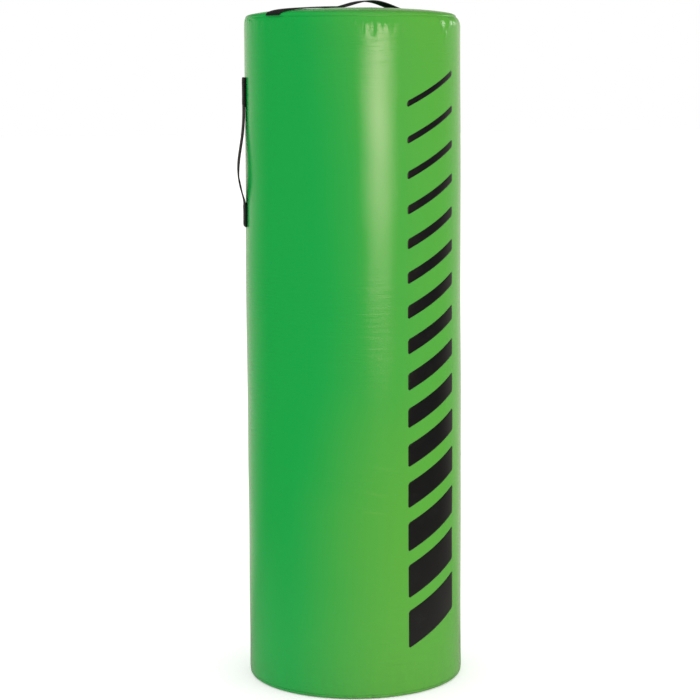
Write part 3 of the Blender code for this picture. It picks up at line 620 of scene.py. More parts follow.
def lapRise(turns, heights):
    start = apart(turns, coverFolds["lapStart"])
    over = np.clip((coverFolds["lapWidth"] + coverFolds["lapRunout"] - start) / coverFolds["lapRunout"], 0, 1)
    on = (start >= -1e-9) * over
    ends = np.minimum(heights - bag["footSeam"], bag["seamHeight"] - heights) / 0.003
    return bag["cloth"] * on * np.clip(ends, 0, 1)


def besideSlot(heights):
    return np.maximum(0, np.maximum(coverFolds["slotLow"] - heights, heights - coverFolds["slotHigh"]))


def hemRise(turns, heights):
    # cloth turned in along the zip and sewn down a few millimetres from its edge
    beside = besideSlot(heights)
    ends = smooth(np.minimum(apart(turns, coverFolds["slotStart"] - 1.5),
                             -apart(turns, coverFolds["slotEnd"] + 1.5)) / 0.006)
    along = apart(turns, 0)
    ripple = np.sin(along * 2 * math.pi / coverFolds["hemPitch"] + 3 * np.sin(along * 19))
    ripple = coverFolds["hemRipple"] * ripple * np.exp(-beside / 0.004)
    return ends * (np.interp(beside, *coverFolds["hem"]) + ripple)


def shoulderDepth(turns):
    allRound, more = coverFolds["shoulder"]
    side = 0.5 + 0.5 * np.cos(np.radians(turns - coverFolds["shoulderTurn"]))
    return allRound + more * side ** 2


def shoulderRise(turns, reach):
    return -shoulderDepth(turns) * np.clip(1 - reach / coverFolds["shoulderReach"], 0, 1) ** 3


def coverRise(turns, heights):
    belowSeam = np.maximum(bag["seamHeight"] - heights, 0)
    aboveFoot = np.maximum(heights - bag["footSeam"], 0)
    dip = np.exp(-belowSeam / coverFolds["seamReach"]) + 0.8 * np.exp(-aboveFoot / coverFolds["seamReach"])
    shape = creaseRise(turns, heights, coverFolds["creases"])
    shape += puckers(turns, belowSeam, coverFolds["topPuckers"])
    shape += puckers(turns, aboveFoot, coverFolds["footPuckers"])
    calm = smooth(np.minimum(belowSeam, aboveFoot) / 0.05)
    shape += calm * unevenRise(turns, heights, coverFolds["unevenSeed"], coverFolds["uneven"])
    nearZip = np.exp(-(besideSlot(heights) / 0.010) ** 2) * (np.abs(apart(turns, 90)) < 0.26)
    shape = shape * (1 - nearZip)
    deepest = -0.0011 - 0.0010 * smooth(1 - belowSeam / 0.045)
    shape = np.maximum(shape, deepest) - coverFolds["seamDip"] * dip + shoulderRise(turns, belowSeam)
    return shape + lapRise(turns, heights) + hemRise(turns, heights)


# Columns round the wall: half a degree at the seams, one degree between, with one more at the lap's edge,
# and a quarter of a degree where the top seam gathers most.
fineTurns = np.arange(0, 360, 0.5)
fineTurns[fineTurns == 30.0] = coverFolds["slotStart"]
fineTurns[fineTurns == 150.0] = coverFolds["slotEnd"]
besideLap = coverFolds["lapStart"] - 0.06
gathered = [np.arange(first, last, 0.5) for first, last in coverFolds["gathered"]]
wideTurns = np.sort(np.append(fineTurns[::2], besideLap))
fineTurns = np.sort(np.concatenate((fineTurns, *gathered, (besideLap,))))


def finPoint(height, rise):
    # inner edge of the top seam's allowance, which slopes down and inwards
    radius = bag["topRadius"] - coverFolds["seamDip"] - 0.001
    slope = math.radians(bag["finSlope"])
    return (radius - bag["fin"] * math.cos(slope) - rise * math.sin(slope),
            height - bag["fin"] * math.sin(slope) + rise * math.cos(slope))


coverRows = {
    # steps up from the foot, away from the zip's slot, and down from the top seam
    "foot": (0, 0.0008, 0.0018, 0.0030, 0.0045, 0.0062, 0.0082, 0.0105, 0.0132, 0.0158),
    "hem": (0, 0.0006, 0.0016, 0.0034),
    "aboveHem": (0.0055, 0.0080),
    "seam": (0.0400, 0.0365, 0.0330, 0.0297, 0.0265, 0.0235, 0.0207, 0.0181, 0.0157, 0.0135, 0.0115, 0.0097,
             0.0080, 0.0064, 0.0050, 0.0038, 0.0027, 0.0017, 0.0008, 0),
    "insideSeam": (0.0055, 0.0090, 0.0140, 0.0200),
    "slot": (0.25, 0.5, 0.75),
    "creased": (0.318, 0.500),
    "nearFoot": 0.090,
    "close": 0.0026,
    "wide": 0.0100,
}
# how much of the cover's bake map the outer face takes, where the inner one starts, and its share
coverMap = (0.955, 0.960, 0.035)


def outerRows():
    # heights of the outer face, with True where the columns are close
    low, high = coverFolds["slotLow"], coverFolds["slotHigh"]
    rows = [(bag["footSeam"] + step, True) for step in coverRows["foot"]]
    rows += [(low - step, True) for step in reversed(coverRows["hem"])]
    rows += [(low + (high - low) * share, True) for share in coverRows["slot"]]
    rows += [(high + step, True) for step in coverRows["hem"] + coverRows["aboveHem"]]
    place = high + 0.0110
    first, last = coverRows["creased"]
    while place < bag["seamHeight"] - 0.042:
        rows.append((place, False))
        close = first < place < last or place < coverRows["nearFoot"]
        place += coverRows["close"] if close else coverRows["wide"]
    return rows + [(bag["seamHeight"] - step, True) for step in coverRows["seam"]]


def innerRows():
    low, high = coverFolds["slotLow"], coverFolds["slotHigh"]
    rows = [(bag["seamHeight"] - 2.2 * bag["cloth"], True)]
    rows += [(bag["seamHeight"] - step, True) for step in coverRows["insideSeam"]]
    rows += [(height, False) for height in np.linspace(bag["seamHeight"] - 0.06, 0.08, 24)]
    rows += [(high + 0.008, True)]
    rows += [(low + (high - low) * share, True) for share in (1, *reversed(coverRows["slot"]), 0)]
    return rows + [(bag["footSeam"] + 0.006, True), (bag["footSeam"] + bag["cloth"], True)]


def coverRings():
    # each ring: turns, radii, height, and its share of the outer face's height, or None inside
    gap, cloth, foot, seam = bag["gap"] / 2, bag["cloth"], bag["footSeam"], bag["seamHeight"]
    rings = []
    for height, close in outerRows():
        turns = fineTurns if close else wideTurns
        rings.append((turns, wallRadius(height) + coverRise(turns, height), height, height / seam))
    for rise in (-gap, -gap - cloth):
        radius, height = finPoint(seam + gap, rise)
        rings.append((fineTurns, np.full(len(fineTurns), radius), height, None))
    for height, close in innerRows():
        turns = fineTurns if close else wideTurns
        drawn = shoulderRise(turns, seam - height)
        dents = np.minimum(coverRise(turns, height) - lapRise(turns, height) - drawn, 0)
        inside = wallRadius(height) - cloth + drawn + np.maximum(dents, -coverFolds["thickest"])
        rings.append((turns, inside, height, None))
    for height in (foot + gap + cloth, foot + gap):
        rings.append((fineTurns, np.full(len(fineTurns), wallRadius(foot) - bag["fin"]), height, None))
    return rings


def sewSlotEdge(faces, slotRows, starts, columns):
    # outer and inner rows that lie at the same height are joined through the cloth
    outer = sorted({row for pair in slotRows if not pair[2] for row in pair[:2]})
    inner = sorted({row for pair in slotRows if pair[2] for row in pair[:2]}, reverse=True)
    for rowOut, rowIn, flip in ((outer[0], inner[0], False), (outer[-1], inner[-1], True)):
        for column, after in zip(columns, columns[1:]):
            out, back = starts[rowOut], starts[rowIn]
            ring = (out + column, out + after, back + after, back + column)
            faces.append(ring if flip else ring[::-1])
    for (outA, inA), (outB, inB) in zip(zip(outer, inner), zip(outer[1:], inner[1:])):
        for column, flip in ((columns[0], False), (columns[-1], True)):
            ring = [starts[row] + column for row in (outA, outB, inB, inA)]
            faces.append(ring if flip else ring[::-1])


def makeCoverWall():
    rings = coverRings()
    outerCount = len(outerRows())
    points, clothMap, bakeMap, starts = [], [], [], []
    faceShare, back, backShare = coverMap
    for turns, radii, height, share in rings:
        starts.append(len(points))
        around = ((turns - coverFolds["lapStart"]) % 360) / 360
        back += 0 if share is not None else backShare / (len(rings) - outerCount)
        for turn, radius, part in zip(turns, radii, around):
            points.append(aroundPoint(turn, radius, height))
            clothMap.append((part * 2 * math.pi * bag["footRadius"], height))
            bakeMap.append((part, faceShare * share if share is not None else back))
    faces, slotRows = [], []
    inSlot = (fineTurns >= coverFolds["slotStart"] - 1e-6) & (fineTurns <= coverFolds["slotEnd"] + 1e-6)
    for index, first in enumerate(rings):
        after = (index + 1) % len(rings)
        second = rings[after]
        lower, upper = sorted((first[2], second[2]))
        inside = coverFolds["slotLow"] - 1e-6 <= lower and upper <= coverFolds["slotHigh"] + 1e-6
        gap = inSlot if inside and len(first[0]) == len(second[0]) == len(fineTurns) else None
        joinRings(faces, starts[index], first[0], starts[after], second[0], gap)
        if gap is not None:
            slotRows.append((index, after, index >= outerCount))
    sewSlotEdge(faces, slotRows, starts, np.flatnonzero(inSlot))
    piece = meshPiece("coverWall", points, faces, green, clothMap, bakeMap)
    ride(piece, "green_cover", "side_wall")
    return piece


coverWall = makeCoverWall()
print("cover wall:", len(coverWall.data.polygons), "faces")

# Crown and base

crownFolds = {
    "puckers": {"seed": 5, "count": 96, "width": (0.0024, 0.0066), "length": (0.0040, 0.0130),
                "rise": (-0.00040, 0.00025), "lean": 0.30},
    "uneven": 0.00040,
    "pressed": 0.0006,
    # the foam fills the crown's edge more on one side
    "fuller": {"curve": 0.30, "least": 0.25, "turn": 226.0, "narrow": 12},
    # the outer face's rings, as shares of the way from its middle to the seam
    "shares": (1, 0.9985, 0.9968, 0.9945, 0.9915, 0.988, 0.984, 0.979, 0.973, 0.966, 0.958, 0.949, 0.939,
               0.928, 0.915, 0.900, 0.883, 0.864, 0.843, 0.820),
    "wideShares": (0.795, 0.768, 0.739, 0.708, 0.675, 0.640, 0.603, 0.564, 0.523, 0.480, 0.435, 0.388, 0.339),
    "middleShares": (0.288, 0.236, 0.184, 0.132, 0.080),
    "innerShares": (0.972, 0.93, 0.85, 0.7, 0.5, 0.25),
}

topStrap = {
    "heading": 35.7,
    "width": 0.0475,       # 50 mm webbing, a little drawn in by its stitching
    "thickness": 0.0024,
    "front": 0.9990,       # where its sewn front end stops, as a share of the way to the seam
    "archStart": -0.0370,
    "archLength": 0.1720,
    "archRise": 0.0137,
    "archSkew": 0.35,      # the arch leans along the strap from one edge to the other
    "drawnIn": 0.15,       # how much narrower its front end is sewn
    "drawnLength": 0.040,
    "boxLength": 0.052,
    "boxGap": 0.011,
    "boxMargin": 0.0045,
}


def crownHeight(share):
    return bag["seamHeight"] + bag["crownRise"] * np.maximum(1 - share ** 2, 0) ** bag["crownCurve"]


def crownNormal(share):
    share = np.minimum(share, 0.99999)
    steep = 2 * bag["crownCurve"] * bag["crownRise"] / bag["topRadius"]
    slope = steep * share * (1 - share ** 2) ** (bag["crownCurve"] - 1)
    length = np.hypot(slope, 1)
    return slope / length, 1 / length


def strapPress(turns, share):
    # the sewn strap draws the crown down beside itself
    x = share * bag["topRadius"] * np.cos(np.radians(turns - topStrap["heading"]))
    y = share * bag["topRadius"] * np.sin(np.radians(turns - topStrap["heading"]))
    free = smooth((x - topStrap["archStart"]) / 0.03) * smooth(
        (topStrap["archStart"] + topStrap["archLength"] - x) / 0.03)
    beside = np.abs(y) - topStrap["width"] / 2
    under = smooth(-beside / 0.006 + 1)
    return -crownFolds["pressed"] * under * (1 - free)


def crownRise(turns, share):
    reach = (1 - share) * bag["topRadius"] * 1.25
    shape = puckers(turns, reach, crownFolds["puckers"])
    shape += unevenRise(turns, share * 0.7, 31, crownFolds["uneven"]) * smooth(reach / 0.04)
    shape += strapPress(turns, share)
    dip = coverFolds["seamDip"] * np.exp(-reach / coverFolds["seamReach"])
    return np.maximum(shape, -coverFolds["thickest"]) - dip


def crownFullness(turns, share):
    # how much higher the crown lies than an even dome
    plan = crownFolds["fuller"]
    facing = (0.5 + 0.5 * np.cos(np.radians(turns - plan["turn"]))) ** plan["narrow"]
    side = plan["least"] + (1 - plan["least"]) * facing
    left = np.maximum(1 - share ** 2, 0)
    return bag["crownRise"] * side * (left ** plan["curve"] - left ** bag["crownCurve"])


def crownDrawn(turns, share):
    # how far the seam draws the crown's edge towards the axis
    return shoulderDepth(turns) * share ** 5


def evenRing(radius, height, flat, turns=fineTurns):
    return turns, np.full(len(turns), radius), np.full(len(turns), height), flat


def polarPiece(name, rings, closing, material, mapScale):
    # Each ring: turns, radii, heights, and its distance from the middle of the cloth laid flat.
    # closing names a ring and the height of the point that it closes to.
    points, faces, starts, clothMap, bakeMap = [], [], [], [], []
    mapCentre = 0.5
    for turns, radii, heights, flat in rings:
        starts.append(len(points))
        for turn, radius, height in zip(turns, radii, heights):
            points.append(aroundPoint(turn, radius, height))
            spot = (flat * math.cos(math.radians(turn)), flat * math.sin(math.radians(turn)))
            clothMap.append(spot)
            bakeMap.append((mapCentre + spot[0] * mapScale, mapCentre + spot[1] * mapScale))
    for index in range(len(rings) - 1):
        joinRings(faces, starts[index], rings[index][0], starts[index + 1], rings[index + 1][0])
    for index, height in closing:
        middle = len(points)
        points.append((0, 0, height))
        clothMap.append((0, 0))
        bakeMap.append((mapCentre, mapCentre))
        count = len(rings[index][0])
        for column in range(count):
            after = (column + 1) % count
            pair = (starts[index] + column, starts[index] + after)
            faces.append((pair[1], pair[0], middle) if index == 0 else (pair[0], pair[1], middle))
    return meshPiece(name, points, faces, material, clothMap, bakeMap)


def crownRing(turns, share, lift, flat):
    out, up = crownNormal(share)
    return (turns, bag["topRadius"] * share + lift * out - crownDrawn(turns, share),
            crownHeight(share) + crownFullness(turns, share) + lift * up, flat)


def makeCrown():
    radius, cloth, gap = bag["topRadius"], bag["cloth"], bag["gap"] / 2
    quarter = wideTurns[::3]
    rings = []
    # from the middle of the outer face to the rim, in along the fin, and back under the crown
    for key, turns in (("middleShares", quarter), ("wideShares", wideTurns), ("shares", fineTurns)):
        for share in reversed(crownFolds[key]):
            rings.append(crownRing(turns, share, crownRise(turns, share), radius * share))
    middle = rings[0][2].mean()
    for rise in (gap, gap + cloth):
        reach, height = finPoint(bag["seamHeight"], rise)
        rings.append(evenRing(reach, height, radius + bag["fin"] + rise))
    for share in crownFolds["innerShares"]:
        turns = fineTurns if share > 0.9 else wideTurns if share > 0.6 else quarter
        lift = -cloth + np.minimum(crownRise(turns, share), 0) * 0.5
        rings.append(crownRing(turns, share, lift, radius * (2.3 - share)))
    ends = ((0, middle + 0.00005), (len(rings) - 1, crownHeight(0.0) - cloth))
    piece = polarPiece("coverCrown", rings, ends, greenCrown, 0.9)
    ride(piece, "green_cover", "top_panel")
    return piece


baseFolds = {
    "puckers": {"seed": 41, "count": 60, "width": (0.003, 0.007), "length": (0.002, 0.005),
                "rise": (-0.0004, 0.0002), "lean": 0.2},
    "seamDip": 0.001,
    "seamReach": 0.002,
    "heelSteps": 8,
    "shares": (0.15, 0.4, 0.7, 0.9, 1.0),
    "innerShares": (0.9, 0.5, 0.15),
}


def makeBase():
    foot, cloth, gap = bag["footSeam"], bag["baseCloth"], bag["gap"] / 2
    radius = wallRadius(foot)
    flatRadius = radius - foot
    rings = [evenRing(flatRadius * share, 0, flatRadius * share, wideTurns) for share in baseFolds["shares"]]
    steps = baseFolds["heelSteps"]
    for step in range(1, steps + 1):
        lean = math.pi / 2 * step / steps
        height = foot * (1 - math.cos(lean))
        reach = max(foot - height, 0)
        dip = baseFolds["seamDip"] * math.exp(-reach / baseFolds["seamReach"])
        radii = flatRadius + foot * math.sin(lean) + (puckers(fineTurns, reach, baseFolds["puckers"]) - dip)
        heights = np.full(len(fineTurns), height - gap * step / steps)
        rings.append((fineTurns, radii, heights, flatRadius + foot * lean))
    for rise in (-gap, -gap - cloth):
        rings.append(evenRing(radius - bag["fin"], foot + rise, radius + bag["fin"] - rise))
    inner = foot - cloth
    for step in (3, 2, 1, 0):
        lean = math.pi / 2 * step / 5
        rings.append(evenRing(flatRadius + inner * math.sin(lean) - 0.0004, foot - inner * math.cos(lean),
                              radius + 0.03 - 0.002 * step))
    for share in baseFolds["innerShares"]:
        rings.append(evenRing(flatRadius * share, cloth, radius + 0.034 + 0.02 * (1 - share), wideTurns))
    piece = polarPiece("baseSheet", rings, ((0, 0.0), (len(rings) - 1, cloth)), greenBase, 1.7)
    ride(piece, "base_sheet", "base_panel")
    return piece


coverCrown = makeCrown()
baseSheet = makeBase()
print("crown and base:", len(coverCrown.data.polygons), len(baseSheet.data.polygons), "faces")

# Printed stripes: slanted bars of black ink film, thick at the foot and thinner as they climb

stripes = {
    "count": 15,
    "firstTurn": 290.4,
    "lastTurn": 325.4,
    "bottom": 0.100,
    "thickest": 0.078,
    "thinnest": 0.012,
    "firstGap": 0.0275,
    "gapGrowth": 1.06,
    "slant": 24.0,
    "corner": 0.0035,
    "film": 0.00020,
    "pitch": 0.0026,
}


def makeStripes():
    width = math.radians(stripes["lastTurn"] - stripes["firstTurn"]) * bag["topRadius"]
    climb = math.tan(math.radians(stripes["slant"]))
    thinning = (stripes["thinnest"] / stripes["thickest"]) ** (1 / (stripes["count"] - 1))
    points, faces = [], []
    bottom, thick, gap = stripes["bottom"], stripes["thickest"], stripes["firstGap"]
    columns = int(width / stripes["pitch"])
    for _ in range(stripes["count"]):
        rows = max(int(thick / stripes["pitch"]), 4)
        grid = []
        for column in range(columns + 1):
            across = width * column / columns
            beside = min(across, width - across)
            corner = min(stripes["corner"], thick / 2)
            trim = corner - math.sqrt(max(corner ** 2 - max(corner - beside, 0) ** 2, 0))
            low = bottom + across * climb + trim
            high = bottom + across * climb + thick - trim
            turn = stripes["firstTurn"] + math.degrees(across / bag["topRadius"])
            grid.append([(turn, low + (high - low) * row / rows) for row in range(rows + 1)])
        start = len(points)
        spots = np.array(grid)
        rise = coverRise(spots[:, :, 0], spots[:, :, 1])
        for lift in (stripes["film"], -stripes["film"]):
            for column in range(columns + 1):
                for row in range(rows + 1):
                    turn, height = grid[column][row]
                    points.append(aroundPoint(turn, wallRadius(height) + rise[column, row] + lift, height))
        size = (columns + 1) * (rows + 1)
        for column in range(columns):
            for row in range(rows):
                here = start + column * (rows + 1) + row
                there = here + rows + 1
                faces.append((here, there, there + 1, here + 1))
                faces.append((here + size + 1, there + size + 1, there + size, here + size))
        rim = [column * (rows + 1) for column in range(columns + 1)]
        rim += [columns * (rows + 1) + row for row in range(1, rows + 1)]
        rim += [column * (rows + 1) + rows for column in range(columns - 1, -1, -1)]
        rim += list(range(rows - 1, 0, -1))
        for here, there in zip(rim, rim[1:] + rim[:1]):
            faces.append((start + here, start + here + size, start + there + size, start + there))
        bottom += thick + gap
        thick *= thinning
        gap *= stripes["gapGrowth"]
    piece = meshPiece("printedStripes", points, faces, ink)
    return ride(piece, None)


printedStripes = makeStripes()
print("stripes:", len(printedStripes.data.polygons), "faces")

# Webbing

weave = {"ribs": 24, "ribDepth": 0.00010, "perRib": 4, "edge": 0.0011, "mapGap": 0.01}


def webbingPiece(name, place, stations, lengths, plan, nodeName):
    # place(station, across, lift) gives a point; lift is measured from the middle of the webbing
    half, thick = plan["width"] / 2, plan["thickness"] / 2
    count = weave["ribs"] * weave["perRib"]
    acrosses = np.linspace(-half, half, count + 1)
    profile = []
    for across in acrosses:
        beside = half - abs(across)
        full = math.sqrt(max(1 - max(1 - beside / weave["edge"], 0) ** 2, 0.0))
        rib = weave["ribDepth"] * math.cos(2 * math.pi * (across + half) / plan["width"] * weave["ribs"])
        profile.append((across, thick * (0.25 + 0.75 * full) - weave["ribDepth"] + rib * full))
    loop = profile + [(across, -lift) for across, lift in reversed(profile)]
    points, clothMap, faces = [], [], []
    for station, length in zip(stations, lengths):
        for index, (across, lift) in enumerate(loop):
            points.append(place(station, across, lift))
            clothMap.append((across + half + (plan["width"] + weave["mapGap"]) * (index > count), length))
    size = len(loop)
    for row in range(len(stations) - 1):
        for column in range(size):
            here, there = row * size + column, row * size + (column + 1) % size
            faces.append((here, here + size, there + size, there))
    last = (len(stations) - 1) * size
    faces.append(range(size))
    faces.append(range(last + size - 1, last - 1, -1))
    piece = meshPiece(name, points, faces, webbing, clothMap)
    return ride(piece, "webbing", nodeName)


def crownPlace(along, across, lift):
    # a point over the crown, on the top strap's line
    rim = bag["topRadius"]
    follow = max(0, abs(along) / rim * 3 - 2)
    drawnIn = (rim - math.sqrt(rim ** 2 - across ** 2)) * follow
    reach = math.copysign(abs(along) - drawnIn, along)
    radius = math.hypot(reach, across)
    share = min(radius / rim, 1)
    out, up = crownNormal(share)
    turn = topStrap["heading"] + math.degrees(math.atan2(across, reach))
    scale = (share * rim + lift * out - crownDrawn(turn, share)) / radius
    x, y = turnedPoint(topStrap["heading"], reach, across)
    return x * scale, y * scale, crownHeight(share) + crownFullness(turn, share) + lift * up


def topArch(along, across):
    share = (along - topStrap["archSkew"] * across - topStrap["archStart"]) / topStrap["archLength"]
    return topStrap["archRise"] * math.sin(math.pi * share) ** 1.3 if 0 < share < 1 else 0.0


def topPlace(along, across, lift):
    base = bag["gap"] + topStrap["thickness"] / 2 + topArch(along, across)
    fromEnd = along + bag["topRadius"] * topStrap["front"]
    narrowed = 1 - topStrap["drawnIn"] * smooth(1 - fromEnd / topStrap["drawnLength"])
    return crownPlace(along, across * narrowed, base + lift)


def runLengths(spots):
    lengths = [0.0]
    for before, after in zip(spots, spots[1:]):
        lengths.append(lengths[-1] + math.dist(before, after))
    return lengths


def makeTopStrap():
    rim = bag["topRadius"]
    near = [rim * share for share in (1, 0.9992, 0.998, 0.996, 0.993, 0.989, 0.984, 0.978, 0.970)]
    front = rim * topStrap["front"]
    stations = [-front] + [-value for value in near if value < front - 0.0002]
    stations += list(np.linspace(-rim * 0.96, rim * 0.96, 210)) + near[::-1]
    lengths = runLengths([topPlace(station, 0.001, 0) for station in stations])
    return webbingPiece("topStrap", topPlace, stations, lengths, topStrap, "top_handle")


sideLow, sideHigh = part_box("side_handle")
sideStrap = {
    "turn": 178.8,
    "width": 0.0475,
    "thickness": 0.0024,
    "top": sideHigh.z,
    "bottom": sideLow.z,
    "topSewn": 0.061,
    "bottomSewn": 0.048,
    "bow": 0.0122,
    "peakShare": 0.65,
    "twist": 5.5,
    "twistShare": 0.80,
    "twistReach": 0.13,
    "boxMargin": 0.0045,
}
# upper and lower end of the loop that the hand grips
sideLoop = (sideStrap["top"] - sideStrap["topSewn"], sideStrap["bottom"] + sideStrap["bottomSewn"])


def sidePath():
    # The webbing's middle line as (height, distance off the wall), from its hidden upper end over the top
    # fold, down the loop, round the bottom fold and up to its hidden lower end.
    thick = sideStrap["thickness"]
    inner, outer, bend = bag["gap"] + thick / 2, bag["gap"] + thick * 1.5, thick / 2
    top, bottom = sideStrap["top"] - thick, sideStrap["bottom"] + thick
    angles = np.linspace(0.3, math.pi - 0.3, 7)
    path = [(height, inner) for height in np.linspace(sideLoop[0], top, 12)]
    path += [(top + bend * math.sin(angle), inner + bend - bend * math.cos(angle)) for angle in angles]
    path += [(height, outer) for height in np.linspace(top, sideLoop[0], 16)]
    lean = math.log(0.5) / math.log(sideStrap["peakShare"])
    for share in np.linspace(0, 1, 91)[1:]:
        bow = sideStrap["bow"] * math.sin(math.pi * min(share ** lean, 1)) ** 1.5
        path.append((sideLoop[0] + (sideLoop[1] - sideLoop[0]) * share, outer + bow))
    path += [(height, outer) for height in np.linspace(sideLoop[1], bottom, 12)[1:]]
    path += [(bottom - bend * math.sin(angle), inner + bend + bend * math.cos(angle)) for angle in angles]
    path += [(height, inner) for height in np.linspace(bottom, sideLoop[1], 10)]
    return path


sideLine = sidePath()


def onWall(height, off, across):
    reach = math.sqrt((wallRadius(height) + off) ** 2 - across ** 2)
    return *turnedPoint(sideStrap["turn"], reach, across), height


def sidePlace(station, across, lift):
    height, off = sideLine[station]
    before, after = sideLine[max(station - 1, 0)], sideLine[min(station + 1, len(sideLine) - 1)]
    run = Vector((after[0] - before[0], after[1] - before[1])).normalized()
    share = (sideLoop[0] - height) / (sideLoop[0] - sideLoop[1])
    twist = 0
    if 22 < station < len(sideLine) - 18 and 0 < share < 1:
        # the loop's own part of the line
        away = (share - sideStrap["twistShare"]) / sideStrap["twistReach"]
        twist = math.radians(sideStrap["twist"]) * math.exp(-away ** 2)
    # the outer face looks away from the wall while the webbing runs down
    off += across * math.sin(twist) - lift * run.x
    return onWall(height + lift * run.y, off, across * math.cos(twist))


def makeSideStrap():
    stations = range(len(sideLine))
    return webbingPiece("sideStrap", sidePlace, stations, runLengths(sideLine), sideStrap, "side_handle")


topStrapPiece = makeTopStrap()
sideStrapPiece = makeSideStrap()
print("webbing:", len(topStrapPiece.data.polygons) + len(sideStrapPiece.data.polygons), "faces")

# Stitching: each stitch is a short thread that comes up out of the cloth and goes down again

thread = {
    "stitch": 0.0034,
    "gap": 0.0007,
    "radius": 0.00034,
    "sides": 6,
    # along a stitch, as shares of the radius: how high it lies and how thick it is
    "rise": (-0.9, 0.45, 0.75, 0.45, -0.9),
    "girth": (0.7, 1.0, 1.05, 1.0, 0.7),
}


def stitchMesh(lines):
    # lines is a list of lists of (point, outward direction)
    points, faces = [], []
    sides = range(thread["sides"])
    last = len(thread["rise"]) - 1
    for line in lines:
        spots = [Vector(point) for point, out in line]
        reach = [0.0]
        for before, after in zip(spots, spots[1:]):
            reach.append(reach[-1] + (after - before).length)
        count = max(int(reach[-1] / (thread["stitch"] + thread["gap"])), 1)
        pitch = reach[-1] / count

        def at(distance):
            index = min(max(int(np.searchsorted(reach, distance)) - 1, 0), len(spots) - 2)
            share = (distance - reach[index]) / max(reach[index + 1] - reach[index], 1e-9)
            out = Vector(line[index][1]).lerp(Vector(line[index + 1][1]), share).normalized()
            return spots[index].lerp(spots[index + 1], share), out

        for stitch in range(count):
            begin = pitch * stitch + thread["gap"] / 2
            end = pitch * (stitch + 1) - thread["gap"] / 2
            start = len(points)
            ahead = at(end)[0] - at(begin)[0]
            for step, (rise, girth) in enumerate(zip(thread["rise"], thread["girth"])):
                spot, out = at(begin + (end - begin) * step / last)
                side = ahead.cross(out).normalized()
                middle = spot + out * thread["radius"] * rise
                for corner in sides:
                    angle = 2 * math.pi * corner / len(sides)
                    offset = side * math.cos(angle) + out * math.sin(angle)
                    points.append(middle + offset * thread["radius"] * girth)
            rings = [start + step * len(sides) for step in range(last + 1)]
            for ring, after in zip(rings, rings[1:]):
                joinRings(faces, ring, sides, after, sides)
            faces.append([rings[0] + corner for corner in reversed(sides)])
            faces.append([rings[-1] + corner for corner in sides])
    return points, faces


def stitches(name, lines, material, slotName):
    points, faces = stitchMesh(lines)
    return ride(meshPiece(name, points, faces, material), slotName)


def boxCross(place, low, high, left, right, lift):
    # a sewn box with its two diagonals, on the face of a strap
    corners = [(low, left), (low, right), (high, right), (high, left), (low, left)]
    runs = list(zip(corners, corners[1:])) + [((low, left), (high, right)), ((low, right), (high, left))]
    lines = []
    for (fromAlong, fromAcross), (toAlong, toAcross) in runs:
        line = []
        for share in np.linspace(0, 1, 25):
            along = fromAlong + (toAlong - fromAlong) * share
            across = fromAcross + (toAcross - fromAcross) * share
            spot, above = Vector(place(along, across, lift)), Vector(place(along, across, lift + 0.001))
            line.append((spot, (above - spot).normalized()))
        lines.append(line)
    return lines


def sideFace(height, across, lift):
    # the sewn ends of the side strap lie two thick on the wall
    return onWall(height, bag["gap"] + 1.5 * sideStrap["thickness"] + lift, across)


def makeStrapStitches():
    lift = topStrap["thickness"] / 2 - weave["ribDepth"]
    half = topStrap["width"] / 2 - topStrap["boxMargin"]
    front = topStrap["archStart"] - topStrap["boxGap"]
    rear = topStrap["archStart"] + topStrap["archLength"] + topStrap["boxGap"]
    lines = boxCross(topPlace, front - topStrap["boxLength"], front, -half, half, lift)
    lines += boxCross(topPlace, rear, rear + topStrap["boxLength"], -half, half, lift)
    stitches("topStrapStitches", lines, blackThread, "webbing")
    margin = sideStrap["boxMargin"]
    upper = boxCross(sideFace, sideLoop[0] + margin, sideStrap["top"] - margin, -half, half, lift)
    lower = boxCross(sideFace, sideStrap["bottom"] + margin, sideLoop[1] - margin, -half, half, lift)
    stitches("sideStrapStitchesUpper", upper, blackThread, "webbing")
    stitches("sideStrapStitchesLower", lower, blackThread, "webbing")


def wallLine(turns, heights):
    turns, heights = np.broadcast_arrays(np.asarray(turns, float), np.asarray(heights, float))
    rise = coverRise(turns, heights)
    return [(aroundPoint(turn, wallRadius(height) + lift, height), aroundPoint(turn, 1, 0))
            for turn, height, lift in zip(turns, heights, rise)]


def makeCoverStitches():
    seam, foot = bag["seamHeight"], bag["footSeam"]
    low, high = coverFolds["slotLow"], coverFolds["slotHigh"]
    lapEnd = coverFolds["lapStart"] + math.degrees(coverFolds["lapWidth"] / bag["topRadius"])
    lines = []
    for turn in (coverFolds["lapStart"] + 0.9, lapEnd - 0.9):
        lines.append(wallLine(turn, np.linspace(foot + 0.004, low - 0.005, 12)))
        lines.append(wallLine(turn, np.linspace(high + 0.005, seam - 0.004, 400)))
    stitches("lapStitches", lines, greenThread, "green_cover")
    inset = coverRows["hem"][-1]
    around = np.linspace(coverFolds["slotStart"] + 0.1, coverFolds["slotEnd"] - 0.1, 400)
    lines = [wallLine(around, low - inset), wallLine(around, high + inset)]
    for turn in (coverFolds["slotStart"] - 0.8, coverFolds["slotEnd"] + 0.8):
        lines.append(wallLine(turn, np.linspace(low - inset, high + inset, 20)))
    stitches("zipStitches", lines, greenThread, "green_cover")


makeStrapStitches()
makeCoverStitches()
print("stitching: done")

# Hidden pieces: the foam filling

foamForm = {
    "bore": 0.004,
    "round": 0.006,
    "steps": 4,
    "uneven": 0.0008,
    "columns": 90,
    # the top pad's outer edge: how far inside the bench model's rim, and how far above its underside
    "topRim": ((0.001, 0), (0.001, 0.018), (0.006, 0.024)),
    "topShares": (0.86, 0.78, 0.68, 0.55, 0.40, 0.22, 0.02),
}


